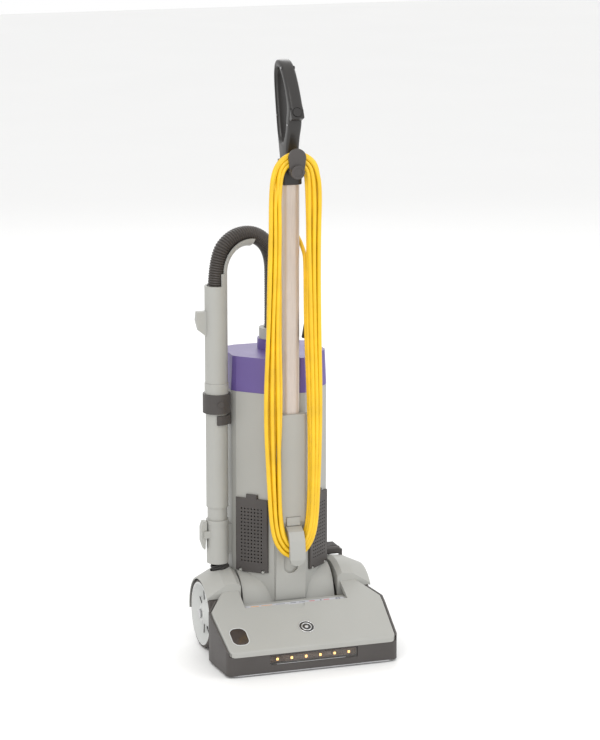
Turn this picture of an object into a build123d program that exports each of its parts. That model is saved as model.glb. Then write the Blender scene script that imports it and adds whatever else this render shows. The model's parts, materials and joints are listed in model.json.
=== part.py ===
# Upright vacuum cleaner with a powered floor head, each piece a solid of its own.
# Millimetres, +Z up. The front faces -Y, the wand is on the -X side, and the origin lies on the floor
# under the middle of the cleaner's box, measured without its cord.
from build123d import *
import os
from math import atan, cos, degrees, pi, radians, sin, sqrt, tan

os.makedirs("parts", exist_ok=True)

# ---------------------------------------------------------------- overall sizes
overall_depth = 310.0
overall_height = 1143.0
y_front = -overall_depth / 2
y_back = overall_depth / 2

wall = 3.0  # moulded wall
gap = 0.5  # between pieces of different bodies
fit = 0.06  # radial clearance of a turning pin

# ---------------------------------------------------------------- floor head sizes
head_front_width = 342.0
head_width = 354.0
cover_side_gap = 5.0  # the base stands this far outside the cover's edge
cover_front_height = 50.0
cover_slope = 0.49
cover_rim = 10.0
cover_back_y = y_front + 150.0
cover_shoulder_width = 280.0
widest_y_front = y_front + 92.0
widest_y_back = y_front + 108.0
shelf_y = y_front + 106.0
shelf_depth = 28.0
notch_width = 208.0

sole_width = 324.0
base_lip_drop = 3.0  # the base's side lip ends this far under the cover's top
base_floor_gap = 4.0
base_back_y = y_front + 135.0
base_step = 1.0  # dark line between the cover's rim and the base

brush_y = y_front + 43.0
brush_z = 26.0
brush_core_r = 14.0
brush_tip_r = 24.0
chamber_r = 26.5
chamber_width = 296.0
bearing_length = 6.0
brush_pulley_r = 11.0
motor_pulley_r = 7.0
belt_width = 8.0
belt_thickness = 1.6
bay_width = 292.0
bay_front_y = y_front + 76.0
bay_back_y = base_back_y - 14.0
bay_floor_z = 10.0
brush_motor_r = 20.0
brush_motor_length = 92.0

led_lens_width = 176.0
led_lens_height = 20.0
led_z = 28.0
led_count = 6
led_pitch = 28.5
led_half = 2.5

badge_r = 15.5
badge_y = y_front + 46.0
window_width = 32.0
window_length = 45.0
window_x = -137.0
window_y = y_front + 38.0

roller_r = 9.0
roller_width = 8.0
roller_x = 156.0
roller_y = y_front + 74.0

# ---------------------------------------------------------------- wheels, arms and recline pivot
wheel_r = 67.0
wheel_width = 26.0
tyre_thickness = 5.0
axle_r = 5.0
axle_y = 50.0
axle_z = wheel_r
drum_width = 186.0
arm_gap = 6.0
arm_width = 37.0
arm_r = 58.0
arm_bottom_z = 9.0
arm_top_z = 84.0
wheel_gap = 3.0
trunnion_r = 12.0
arm_in = drum_width / 2 + arm_gap
arm_out = arm_in + arm_width
wheel_in = arm_out + wheel_gap
wheel_out = wheel_in + wheel_width
fender_out = wheel_out + 2.0
fender_crest_r = 91.0
fender_edge_r = wheel_r + 4.5
fender_foot_z = 94.5  # lowest point of the wall closing the fenders' front
duct_r = 14.5
duct_x = -(arm_in + arm_out) / 2 - 1.5
duct_z = 30.0

# ---------------------------------------------------------------- upright sizes
drum_r = 60.0
shoulder_r = 56.0
shoulder_y = 56.0
shoulder_z = 96.0
body_width = 194.0
body_front_y = -6.0
body_bottom_z = 168.0
lid_z = 508.0
lid_height = 68.0
lid_taper = 3.0
shell_split_y = 90.0

mast_width = 35.0
mast_depth = 30.0
mast_y = -8.0
mast_bottom_z = 270.0
mast_top_z = 932.0
mast_wall = 2.0
mast_corner_r = 12.0
mast_groove_gap = 2.5

spine_width = 60.0
spine_front_y = -29.0
spine_top_z = 472.0
spine_bottom_z = 86.0

door_width = 68.0
door_height = 146.0
door_z = 225.0
door_thickness = 5.0
door_opening_margin = 7.0
door_opening_bottom_z = body_bottom_z + 4.0
door_opening_top_z = door_z + door_height / 2 - door_opening_margin
hinge_r = 2.5
hinge_pin_r = 1.2
hinge_half = 20.0
hinge_ear_x = 24.0
grille_hole_r = 1.7
grille_pitch = 7.0

hose_r = 16.5
hose_lid_y = 100.0
neck_r = 30.0
neck_top_z = 597.0
cuff_r = 26.5
cuff_height = 21.0

wand_x = -127.0
wand_y = 57.0
wand_r = 21.4
wand_wall = 2.6
wand_tip_r = 19.2
wand_tip_bottom_z = 205.0
wand_shoulder_z = 280.0
collar_bottom_z = 468.0
collar_step_z = 505.0
collar_top_z = 526.0
collar_r = 27.0
collar_top_r = 23.2
handle_tube_r = 22.0
handle_rim_z = 716.0
handle_straight_top_z = 740.0
hose_bend_r = 67.0
lip_arc = 101.0
socket_bottom_z = 167.0
socket_top_z = 254.0
socket_r = 21.4
neck_hose_r = 15.3
neck_hose_bottom_z = 150.0

handle_width = 26.0
handle_base_z = 915.0
handle_base_width = 39.0
rocker_r = 8.8
rocker_tilt = 25.0
rocker_y = -54.0
rocker_z = 1056.0
hook_z = 944.0
hook_post_r = 10.0
hook_plate_y = -50.0

cord_r = 4.0
hank_back_y = -30.0
hank_front_y = -49.0
hank_half_width = 57.0
hank_top_z = 985.0
hank_bottom_z = 183.0

motor_y = 76.0
motor_r = 62.0
motor_z = 176.0
shaft_r = 5.0


# ---------------------------------------------------------------- helpers
def block(x, y, z, mode=Mode.ADD):
    """Box between two values on each axis, in the part being built."""
    with Locations(((x[0] + x[1]) / 2, (y[0] + y[1]) / 2, (z[0] + z[1]) / 2)):
        Box(abs(x[1] - x[0]), abs(y[1] - y[0]), abs(z[1] - z[0]), mode=mode)


def rod_x(x, y, z, r, mode=Mode.ADD):
    """Round bar along X between two X values."""
    with Locations(((x[0] + x[1]) / 2, y, z)):
        Cylinder(r, abs(x[1] - x[0]), rotation=(0, 90, 0), mode=mode)


def rod_y(x, y, z, r, mode=Mode.ADD):
    """Round bar along Y between two Y values."""
    with Locations((x, (y[0] + y[1]) / 2, z)):
        Cylinder(r, abs(y[1] - y[0]), rotation=(90, 0, 0), mode=mode)


def rod_z(x, y, z, r, mode=Mode.ADD):
    """Round bar along Z between two Z values."""
    with Locations((x, y, (z[0] + z[1]) / 2)):
        Cylinder(r, abs(z[1] - z[0]), mode=mode)


def save(piece, name):
    """Label the piece and write it as its own STEP file."""
    piece.part.label = name
    export_step(piece.part, f"parts/{name}.step")


def cover_z(y):
    """Height of the sloping top of the head's cover."""
    return cover_front_height + cover_slope * (y - y_front)


def cover_plane(x, y, lift=0.0):
    """Plane on the sloping cover at x, y, raised by lift along its normal."""
    tilt = atan(cover_slope)
    normal = Vector(0, -sin(tilt), cos(tilt))
    return Plane(origin=Vector(x, y, cover_z(y)) + normal * lift, x_dir=(1, 0, 0), z_dir=normal)


def body_corners():
    """Right half of the upright body's plan, front to back."""
    groove = mast_width / 2 + mast_groove_gap
    groove_back = mast_y + mast_depth / 2 + mast_groove_gap
    half = body_width / 2
    return [
        (groove, groove_back),
        (groove, body_front_y),
        (spine_width / 2 + 2, body_front_y),
        (half - 57, body_front_y + 8),
        (half - 6, body_front_y + 54),
        (half, body_front_y + 66),
        (half, y_back - 36),
        (half - 14, y_back - 8),
        (half - 34, y_back),
    ]


def door_frame(side):
    """Plane on the slanted front corner of the body, its x axis along the door's lower edge."""
    corner_a = Vector(*body_corners()[3])
    corner_b = Vector(*body_corners()[4])
    middle = (corner_a + corner_b) / 2
    along = (corner_b - corner_a).normalized()
    return Plane(
        origin=(side * middle.X, middle.Y, door_z),
        x_dir=(along.X, side * along.Y, 0),
        z_dir=(side * along.Y, -along.X, 0),
    )


def head_plan(inset, back_y):
    """Face of the floor head's plan, its sides pulled in by inset, in the sketch being built."""
    shoulder_y_back = cover_back_y
    slant = (head_width / 2 - cover_shoulder_width / 2 - cover_side_gap) / (shoulder_y_back - widest_y_back)
    half = head_width / 2 - inset
    back_half = half - slant * (back_y - widest_y_back)
    right = [
        (head_front_width / 2 - inset, y_front),
        (half, widest_y_front),
        (half, widest_y_back),
        (back_half, back_y),
    ]
    Polygon(*right, *[(-x, y) for x, y in reversed(right)], align=None)


shelf_top_z = cover_z(shelf_y) - 2


def hinge_plane(side):
    """Plane across the hinge line of a filter door, its normal along that line."""
    face = door_frame(side)
    line = face.origin + face.z_dir * (gap + hinge_r) - Vector(0, 0, door_height / 2)
    return Plane(origin=line, x_dir=face.z_dir, z_dir=face.x_dir)


# ---------------------------------------------------------------- suction duct, brush chamber to wand neck
with BuildPart() as suction_duct:
    with BuildLine() as duct_path:
        FilletPolyline(
            (duct_x, brush_y + chamber_r, duct_z),
            (duct_x, wand_y, duct_z),
            (duct_x, wand_y, neck_hose_bottom_z),
            radius=26,
        )
    with BuildSketch(Plane(origin=duct_path.line @ 0, z_dir=duct_path.line % 0)):
        Circle(duct_r)
        Circle(duct_r - 2, mode=Mode.SUBTRACT)
    sweep()
save(suction_duct, "suction_duct")

with BuildPart() as duct_bore:
    with BuildLine() as bore_path:
        FilletPolyline(
            (duct_x, brush_y, duct_z),
            (duct_x, wand_y, duct_z),
            (duct_x, wand_y, axle_z + arm_r + 4),
            radius=26,
        )
    with BuildSketch(Plane(origin=bore_path.line @ 0, z_dir=bore_path.line % 0)):
        Circle(duct_r + 0.2)
    sweep()

# ---------------------------------------------------------------- base housing
screw_places = [
    (-125.0, y_front + 8.0),
    (125.0, y_front + 8.0),
    (-88.0, base_back_y - 7.0),
    (88.0, base_back_y - 7.0),
]
screw_r = 2.0
screw_head_r = 4.0
screw_slot = 2.4
screw_length = 28.0

with BuildPart() as base_housing:
    with BuildSketch(Plane.XY.offset(base_floor_gap)):
        head_plan(0, base_back_y)
    extrude(amount=cover_z(base_back_y))
    fillet(base_housing.edges().filter_by(Axis.Z).group_by(Axis.Y)[0], radius=14)
    with BuildSketch(Plane.YZ.offset(-head_width)):
        Polygon(
            (y_front - 1, cover_z(y_front - 1) - base_lip_drop),
            (base_back_y + 1, cover_z(base_back_y + 1) - base_lip_drop),
            (base_back_y + 1, 2 * overall_depth),
            (y_front - 1, 2 * overall_depth),
            align=None,
        )
    extrude(amount=2 * head_width, mode=Mode.SUBTRACT)
    with BuildPart(mode=Mode.PRIVATE) as cover_room:
        with BuildSketch(Plane.YZ.offset(-head_width)):
            Polygon(
                (y_front - 1, cover_z(y_front - 1) - cover_rim - base_step),
                (base_back_y + 1, cover_z(base_back_y + 1) - cover_rim - base_step),
                (base_back_y + 1, 2 * overall_depth),
                (y_front - 1, 2 * overall_depth),
                align=None,
            )
        extrude(amount=2 * head_width)
        with BuildSketch(Plane.XY):
            head_plan(cover_side_gap - base_step, base_back_y + 1)
            with Locations((0, y_front)):
                Rectangle(head_front_width - 2 * (cover_side_gap - base_step), 20)
        extrude(amount=2 * overall_depth, mode=Mode.INTERSECT)
    add(cover_room.part, mode=Mode.SUBTRACT)
    for side in (-1, 1):
        block((side * arm_in, side * arm_out), (base_back_y - 1, axle_y), (arm_bottom_z, arm_top_z))
        rod_x((side * arm_in, side * arm_out), axle_y, axle_z, arm_r)
    rod_x((-chamber_width / 2, chamber_width / 2), brush_y, brush_z, chamber_r, Mode.SUBTRACT)
    block(
        (-chamber_width / 2, chamber_width / 2),
        (brush_y - chamber_r, brush_y + chamber_r),
        (0, brush_z),
        Mode.SUBTRACT,
    )
    block((-bay_width / 2, bay_width / 2), (bay_front_y, bay_back_y), (bay_floor_z, 200), Mode.SUBTRACT)
    block(
        (-notch_width / 2 - wall, notch_width / 2 + wall),
        (shelf_y - wall - 1, base_back_y + 1),
        (shelf_top_z - wall - 1, 2 * shelf_top_z),
        Mode.SUBTRACT,
    )
    block(
        (-led_lens_width / 2, led_lens_width / 2),
        (y_front, y_front + 8),
        (led_z - led_lens_height / 2, led_z + led_lens_height / 2),
        Mode.SUBTRACT,
    )
    belt_x = chamber_width / 2 - bearing_length - belt_width / 2 - 2
    block((belt_x - 6, belt_x + 6), (brush_y + 18, bay_front_y + 8), (10, 46), Mode.SUBTRACT)
    for side in (-1, 1):
        block(
            (side * (roller_x - roller_width / 2 - 1.5), side * (roller_x + roller_width / 2 + 1.5)),
            (roller_y - roller_r - 2, roller_y + roller_r + 2),
            (0, roller_r * 2 + 2),
            Mode.SUBTRACT,
        )
    for x, y in screw_places:
        rod_z(x, y, (0, base_floor_gap + screw_length), screw_r, Mode.SUBTRACT)
        rod_z(x, y, (0, base_floor_gap + 2.5), screw_head_r, Mode.SUBTRACT)
    add(duct_bore.part, mode=Mode.SUBTRACT)
save(base_housing, "base_housing")

with BuildPart() as cover_screws:
    for x, y in screw_places:
        rod_z(x, y, (base_floor_gap, base_floor_gap + 2.5), screw_head_r)
        rod_z(x, y, (base_floor_gap + 2, base_floor_gap + screw_length), screw_r)
        slot_z = (base_floor_gap - 1, base_floor_gap + 1)
        block((x - screw_slot, x + screw_slot), (y - 0.5, y + 0.5), slot_z, Mode.SUBTRACT)
save(cover_screws, "cover_screws")

# ---------------------------------------------------------------- soleplate
plate_thickness = 1.5
with BuildPart() as soleplate:
    block(
        (-sole_width / 2, sole_width / 2),
        (y_front, base_back_y - 4),
        (base_floor_gap - plate_thickness, base_floor_gap),
    )
    fillet(soleplate.edges().filter_by(Axis.Z).group_by(Axis.Y)[0], radius=13)
    block(
        (-chamber_width / 2 + 2, chamber_width / 2 - 2),
        (brush_y - chamber_r + 2, brush_y + chamber_r - 2),
        (0, base_floor_gap),
        Mode.SUBTRACT,
    )
    for side in (-1, 1):
        block(
            (side * (roller_x - roller_width / 2 - 1.5), side * (roller_x + roller_width / 2 + 1.5)),
            (roller_y - roller_r - 2, roller_y + roller_r + 2),
            (0, base_floor_gap),
            Mode.SUBTRACT,
        )
    for x, y in screw_places:
        rod_z(x, y, (0, base_floor_gap), screw_head_r, Mode.SUBTRACT)
save(soleplate, "soleplate")

# ---------------------------------------------------------------- top cover
finger_notch_r = 16.0
wall_drop = wall * sqrt(1 + cover_slope**2)

with BuildPart() as top_cover:
    with BuildSketch(Plane.YZ.offset(-head_width)):
        Polygon(
            (y_front, cover_z(y_front) - cover_rim),
            (y_front, cover_z(y_front)),
            (cover_back_y, cover_z(cover_back_y)),
            (cover_back_y, cover_z(cover_back_y) - cover_rim),
            align=None,
        )
    extrude(amount=2 * head_width)
    with BuildSketch(Plane.XY):
        head_plan(cover_side_gap, cover_back_y)
        with Locations((0, (shelf_y + cover_back_y) / 2)):
            Rectangle(notch_width, cover_back_y - shelf_y, mode=Mode.SUBTRACT)
    extrude(amount=2 * overall_depth, mode=Mode.INTERSECT)
    fillet(top_cover.edges().filter_by(Axis.Z).group_by(Axis.Y)[0], radius=12)
    cover_normal = Axis((0, 0, 0), (0, -cover_slope, 1))
    rim_edges = [
        edge
        for edge in top_cover.faces().sort_by(cover_normal)[-1].outer_wire().edges()
        if edge.center().Y < y_front + 1
        or (abs(edge.center().X) > notch_width / 2 + 1 and edge.center().Y < cover_back_y - 1)
    ]
    fillet(rim_edges, radius=4)
    with BuildPart(mode=Mode.PRIVATE) as cover_hollow:
        with BuildSketch(Plane.YZ.offset(-head_width)):
            Polygon(
                (y_front + wall, 0),
                (y_front + wall, cover_z(y_front + wall) - wall_drop),
                (cover_back_y - wall, cover_z(cover_back_y - wall) - wall_drop),
                (cover_back_y - wall, 0),
                align=None,
            )
        extrude(amount=2 * head_width)
        with BuildSketch(Plane.XY):
            head_plan(cover_side_gap + wall, cover_back_y - wall)
            with Locations((0, (shelf_y - wall + cover_back_y) / 2)):
                Rectangle(notch_width + 2 * wall, cover_back_y - shelf_y + wall, mode=Mode.SUBTRACT)
        extrude(amount=2 * overall_depth, mode=Mode.INTERSECT)
    add(cover_hollow.part, mode=Mode.SUBTRACT)
    block(
        (-notch_width / 2, notch_width / 2),
        (shelf_y - wall, shelf_y + shelf_depth),
        (shelf_top_z - wall, shelf_top_z),
    )
    with BuildSketch(cover_plane(0, shelf_y, 1)):
        Circle(finger_notch_r)
    extrude(amount=-3.2, mode=Mode.SUBTRACT)
    with BuildSketch(cover_plane(0, badge_y, 1)):
        Circle(badge_r + 0.2)
    extrude(amount=-2.5, mode=Mode.SUBTRACT)
    with BuildSketch(cover_plane(window_x, window_y, 1)):
        RectangleRounded(window_width + 0.4, window_length + 0.4, 13)
    extrude(amount=-5, mode=Mode.SUBTRACT)
save(top_cover, "top_cover")

with BuildPart() as badge:
    with BuildSketch(cover_plane(0, badge_y, 0.6)):
        Circle(badge_r)
    extrude(amount=-2.1)
save(badge, "badge")

with BuildPart() as indicator_window:
    with BuildSketch(cover_plane(window_x, window_y, -0.2)):
        RectangleRounded(window_width, window_length, 12.8)
    extrude(amount=-2.8)
save(indicator_window, "indicator_window")

# ---------------------------------------------------------------- headlight
lens_thickness = 3.0
board_thickness = 1.6
with BuildPart() as led_lens:
    block(
        (-led_lens_width / 2, led_lens_width / 2),
        (y_front, y_front + lens_thickness),
        (led_z - led_lens_height / 2, led_z + led_lens_height / 2),
    )
    fillet(led_lens.edges().filter_by(Axis.Y), radius=2)
save(led_lens, "led_lens")

with BuildPart() as led_strip:
    block(
        (-led_lens_width / 2 + 2, led_lens_width / 2 - 2),
        (y_front + 8 - board_thickness, y_front + 8),
        (led_z - 6, led_z + 6),
    )
    board_y = y_front + 8 - board_thickness
    for i in range(led_count):
        x = (i - (led_count - 1) / 2) * led_pitch
        block((x - led_half, x + led_half), (board_y - 2, board_y), (led_z - led_half, led_z + led_half))
save(led_strip, "led_strip")

# ---------------------------------------------------------------- brush roll, its bearings, belt and motor
core_half = chamber_width / 2 - bearing_length - 1
brush_shaft_r = 4.0
with BuildPart() as brush_core:
    rod_x((-core_half, belt_x - belt_width / 2 - 1), brush_y, brush_z, brush_core_r)
    rod_x((belt_x - belt_width / 2 - 1, belt_x + belt_width / 2 + 1), brush_y, brush_z, brush_pulley_r)
    rod_x((-chamber_width / 2 + 1, chamber_width / 2 - 1), brush_y, brush_z, brush_shaft_r)
save(brush_core, "brush_core")

tuft_count = 13
tuft_pitch = 19.0
with BuildPart() as brush_bristles:
    for row in range(2):
        for i in range(tuft_count):
            turn = row * 180 + i * 24
            x = (i - (tuft_count - 1) / 2) * tuft_pitch - 8
            with Locations(Location((x, brush_y, brush_z), (turn, 0, 0))):
                Box(tuft_pitch - 3, 4, brush_tip_r, align=(Align.CENTER, Align.CENTER, Align.MIN))
    rod_x((-chamber_width / 2, chamber_width / 2), brush_y, brush_z, brush_core_r, Mode.SUBTRACT)
save(brush_bristles, "brush_bristles")

with BuildPart() as brush_bearings:
    for side in (-1, 1):
        inner_x = chamber_width / 2 - bearing_length
        rod_x((side * inner_x, side * chamber_width / 2), brush_y, brush_z, chamber_r - 6)
    rod_x((-chamber_width / 2, chamber_width / 2), brush_y, brush_z, brush_shaft_r + fit, Mode.SUBTRACT)
save(brush_bearings, "brush_bearings")

brush_motor_y = (bay_front_y + bay_back_y) / 2
brush_motor_z = 10 + brush_motor_r + 1
motor_right_x = belt_x - 14.0
with BuildPart() as brush_motor:
    rod_x((motor_right_x - brush_motor_length, motor_right_x), brush_motor_y, brush_motor_z, brush_motor_r)
    block(
        (motor_right_x - brush_motor_length + 8, motor_right_x - 8),
        (brush_motor_y - 14, brush_motor_y + 14),
        (10, brush_motor_z),
    )
    rod_x((motor_right_x - 30, motor_right_x), brush_motor_y, brush_motor_z, 3 + fit, Mode.SUBTRACT)
save(brush_motor, "brush_motor")

with BuildPart() as motor_pulley:
    rod_x((motor_right_x - 28, belt_x + belt_width / 2 + 1), brush_motor_y, brush_motor_z, 3)
    pulley_x = (belt_x - belt_width / 2 - 1, belt_x + belt_width / 2 + 1)
    rod_x(pulley_x, brush_motor_y, brush_motor_z, motor_pulley_r)
save(motor_pulley, "motor_pulley")

with BuildPart() as drive_belt:
    belt_gap = 0.2
    for grow, how in ((belt_gap + belt_thickness, Mode.ADD), (belt_gap, Mode.SUBTRACT)):
        with BuildSketch(Plane.YZ.offset(belt_x - belt_width / 2)):
            with Locations((brush_y, brush_z)):
                Circle(brush_pulley_r + grow)
            with Locations((brush_motor_y, brush_motor_z)):
                Circle(motor_pulley_r + grow)
            make_hull()
        extrude(amount=belt_width, mode=how)
save(drive_belt, "drive_belt")

# ---------------------------------------------------------------- axles and trunnions
axle_head = 2.5
with BuildPart() as axle_pins:
    for side in (-1, 1):
        rod_x((side * arm_out, side * wheel_out), axle_y, axle_z, axle_r)
        rod_x((side * wheel_out, side * (wheel_out + axle_head)), axle_y, axle_z, axle_r + 4)
        rod_x((side * arm_in, side * (drum_width / 2 - 16)), axle_y, axle_z, trunnion_r)
        rod_x(
            (side * (roller_x - roller_width / 2 - 1.5), side * (roller_x + roller_width / 2 + 1.5)),
            roller_y,
            roller_r,
            2,
        )
save(axle_pins, "axle_pins")

with BuildPart() as front_rollers:
    for side in (-1, 1):
        sides_x = (side * (roller_x - roller_width / 2), side * (roller_x + roller_width / 2))
        rod_x(sides_x, roller_y, roller_r, roller_r)
    for side in (-1, 1):
        rod_x(
            (side * (roller_x - roller_width / 2 - 1), side * (roller_x + roller_width / 2 + 1)),
            roller_y,
            roller_r,
            2 + fit,
            Mode.SUBTRACT,
        )
save(front_rollers, "front_rollers")

# ---------------------------------------------------------------- rear wheels
hub_r = wheel_r - tyre_thickness
slot_count = 6
for side, name in ((-1, "left"), (1, "right")):
    axis_plane = Plane(origin=(0, axle_y, axle_z), x_dir=(side, 0, 0), z_dir=(0, -side, 0))
    axle_axis = Axis((0, axle_y, axle_z), (1, 0, 0))
    with BuildPart() as wheel:
        with BuildSketch(axis_plane):
            Polygon(
                (wheel_in + 1, axle_r + fit),
                (wheel_out - 1, axle_r + fit),
                (wheel_out - 1, 15),
                (wheel_out - 4, 18),
                (wheel_in + 8, 34),
                (wheel_in + 8, 46),
                (wheel_out - 3, hub_r - 5),
                (wheel_out, hub_r - 3),
                (wheel_out, hub_r),
                (wheel_in, hub_r),
                (wheel_in, hub_r - 4),
                (wheel_in + 4, 46),
                (wheel_in + 4, 32),
                (wheel_in + 1, 18),
                align=None,
            )
        revolve(axis=axle_axis)
        with BuildSketch(Plane.YZ.offset(side * (wheel_in - 1))):
            with Locations((axle_y, axle_z)):
                with PolarLocations(40, slot_count):
                    SlotOverall(13, 5, rotation=90)
        extrude(amount=side * (wheel_width + 2), mode=Mode.SUBTRACT)
    save(wheel, f"{name}_wheel")
    with BuildPart() as tyre:
        with BuildSketch(axis_plane):
            Polygon(
                (wheel_in + 0.5, hub_r),
                (wheel_out - 0.5, hub_r),
                (wheel_out - 0.5, wheel_r - 2),
                (wheel_out - 3, wheel_r),
                (wheel_in + 3, wheel_r),
                (wheel_in + 0.5, wheel_r - 2),
                align=None,
            )
        revolve(axis=axle_axis)
    save(tyre, f"{name}_tyre")

# ---------------------------------------------------------------- wheel fenders, over the arms and wheels
with BuildPart() as wheel_fenders:
    for side in (-1, 1):
        with BuildSketch(Plane(origin=(0, axle_y, axle_z), x_dir=(side, 0, 0), z_dir=(0, -side, 0))):
            Polygon(
                (arm_in, arm_r),
                (arm_in, fender_crest_r - 6),
                (arm_in + 9, fender_crest_r),
                (arm_in + 33, fender_crest_r - 3),
                (fender_out, fender_edge_r),
                (fender_out, fender_edge_r - wall),
                (arm_in + 33, fender_crest_r - 3 - wall * 1.15),
                (arm_in + 10, fender_crest_r - wall),
                (arm_in + wall, fender_crest_r - 7.5),
                (arm_in + wall, arm_r),
                align=None,
            )
        revolve(axis=Axis((0, axle_y, axle_z), (1, 0, 0)))
    block((-200, 200), (cover_back_y + 0.2 - 200, cover_back_y + 0.2), (0, 300), Mode.SUBTRACT)
    block((-200, 200), (-200, 300), (-50, axle_z - 8), Mode.SUBTRACT)
    for side in (-1, 1):
        with BuildPart(mode=Mode.PRIVATE) as front_wall:
            with BuildSketch(Plane(origin=(0, axle_y, axle_z), x_dir=(side, 0, 0), z_dir=(0, -side, 0))):
                Polygon(
                    (arm_in + 1, 1),
                    (arm_in + 1, fender_crest_r - 6),
                    (arm_in + 9, fender_crest_r - 1),
                    (arm_in + 33, fender_crest_r - 4),
                    (fender_out - 1, fender_edge_r - 1),
                    (fender_out - 1, 1),
                    align=None,
                )
            revolve(axis=Axis((0, axle_y, axle_z), (1, 0, 0)))
            block(
                (side * arm_in, side * fender_out),
                (cover_back_y + 0.2, cover_back_y + 0.2 + wall),
                (fender_foot_z, 2 * overall_depth),
                Mode.INTERSECT,
            )
            rod_x((side * (arm_out + 1), side * 2 * fender_out), axle_y, axle_z, wheel_r + 3, Mode.SUBTRACT)
        add(front_wall.part)
    rod_z((duct_x + wand_x) / 2, wand_y, (axle_z + arm_r + 10, 300), neck_hose_r + 4, Mode.SUBTRACT)
save(wheel_fenders, "wheel_fenders")

# ---------------------------------------------------------------- rubber neck between duct and socket
with BuildPart() as neck_hose:
    for grow, how in ((0.0, Mode.ADD), (-2.2, Mode.SUBTRACT)):
        with BuildSketch(Plane.XY.offset(neck_hose_bottom_z)):
            with Locations((duct_x, wand_y)):
                Circle(neck_hose_r + grow)
        with BuildSketch(Plane.XY.offset(socket_bottom_z)):
            with Locations((wand_x, wand_y)):
                Circle(neck_hose_r + grow)
        loft(mode=how)
save(neck_hose, "neck_hose")

# ---------------------------------------------------------------- recline release pedal on the right fender
pedal_x0 = arm_in + 1.0
pedal_x1 = arm_out + 1.0
pedal_pin_y = axle_y + 34.0
pedal_pin_z = 158.0
pedal_pin_r = 2.5
with BuildPart() as pedal_bracket:
    for x in (pedal_x0, pedal_x1 - 4):
        cheek_z = (axle_z + fender_crest_r - 20, pedal_pin_z + 4)
        block((x, x + 4), (pedal_pin_y - 6, pedal_pin_y + 5), cheek_z)
    rod_x((pedal_x0, pedal_x1), pedal_pin_y, pedal_pin_z, pedal_pin_r)
    with BuildSketch(Plane(origin=(0, axle_y, axle_z), x_dir=(1, 0, 0), z_dir=(0, -1, 0))):
        Polygon(
            (arm_in - 2, 0),
            (arm_in - 2, fender_crest_r - 6 + 0.1),
            (arm_in, fender_crest_r - 6 + 0.1),
            (arm_in + 9, fender_crest_r + 0.1),
            (arm_in + 33, fender_crest_r - 3 + 0.1),
            (fender_out, fender_edge_r + 0.1),
            (fender_out, 0),
            align=None,
        )
    revolve(axis=Axis((0, axle_y, axle_z), (1, 0, 0)), mode=Mode.SUBTRACT)
save(pedal_bracket, "pedal_bracket")

with BuildPart() as release_pedal:
    with BuildSketch(Plane.YZ.offset(pedal_x0 + 4.5)):
        Polygon(
            (pedal_pin_y - 6, pedal_pin_z - 2),
            (pedal_pin_y - 6, pedal_pin_z + 6),
            (pedal_pin_y - 2, pedal_pin_z + 9),
            (pedal_pin_y + 34, pedal_pin_z + 6),
            (pedal_pin_y + 39, pedal_pin_z),
            (pedal_pin_y + 39, pedal_pin_z - 8),
            (pedal_pin_y + 35, pedal_pin_z - 8),
            (pedal_pin_y + 33, pedal_pin_z + 1),
            (pedal_pin_y + 6, pedal_pin_z + 3),
            (pedal_pin_y + 5, pedal_pin_z - 5),
            (pedal_pin_y - 4, pedal_pin_z - 5),
            align=None,
        )
    extrude(amount=pedal_x1 - pedal_x0 - 9)
    for i in range(5):
        y = pedal_pin_y + 4 + i * 6
        block((pedal_x0 + 7, pedal_x1 - 7), (y, y + 2.5), (pedal_pin_z + 5, pedal_pin_z + 10))
    rod_x((pedal_x0, pedal_x1), pedal_pin_y, pedal_pin_z, pedal_pin_r + fit, Mode.SUBTRACT)
save(release_pedal, "release_pedal")


# ---------------------------------------------------------------- body of the upright
def body_plan(inset):
    """Face of the body's plan, pulled in by inset, in the sketch being built."""
    right = body_corners()
    left = [(-x, y) for x, y in reversed(right)]
    Polygon(*right, *left, align=None)
    if inset:
        offset(amount=-inset, kind=Kind.INTERSECTION, mode=Mode.REPLACE)


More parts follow.
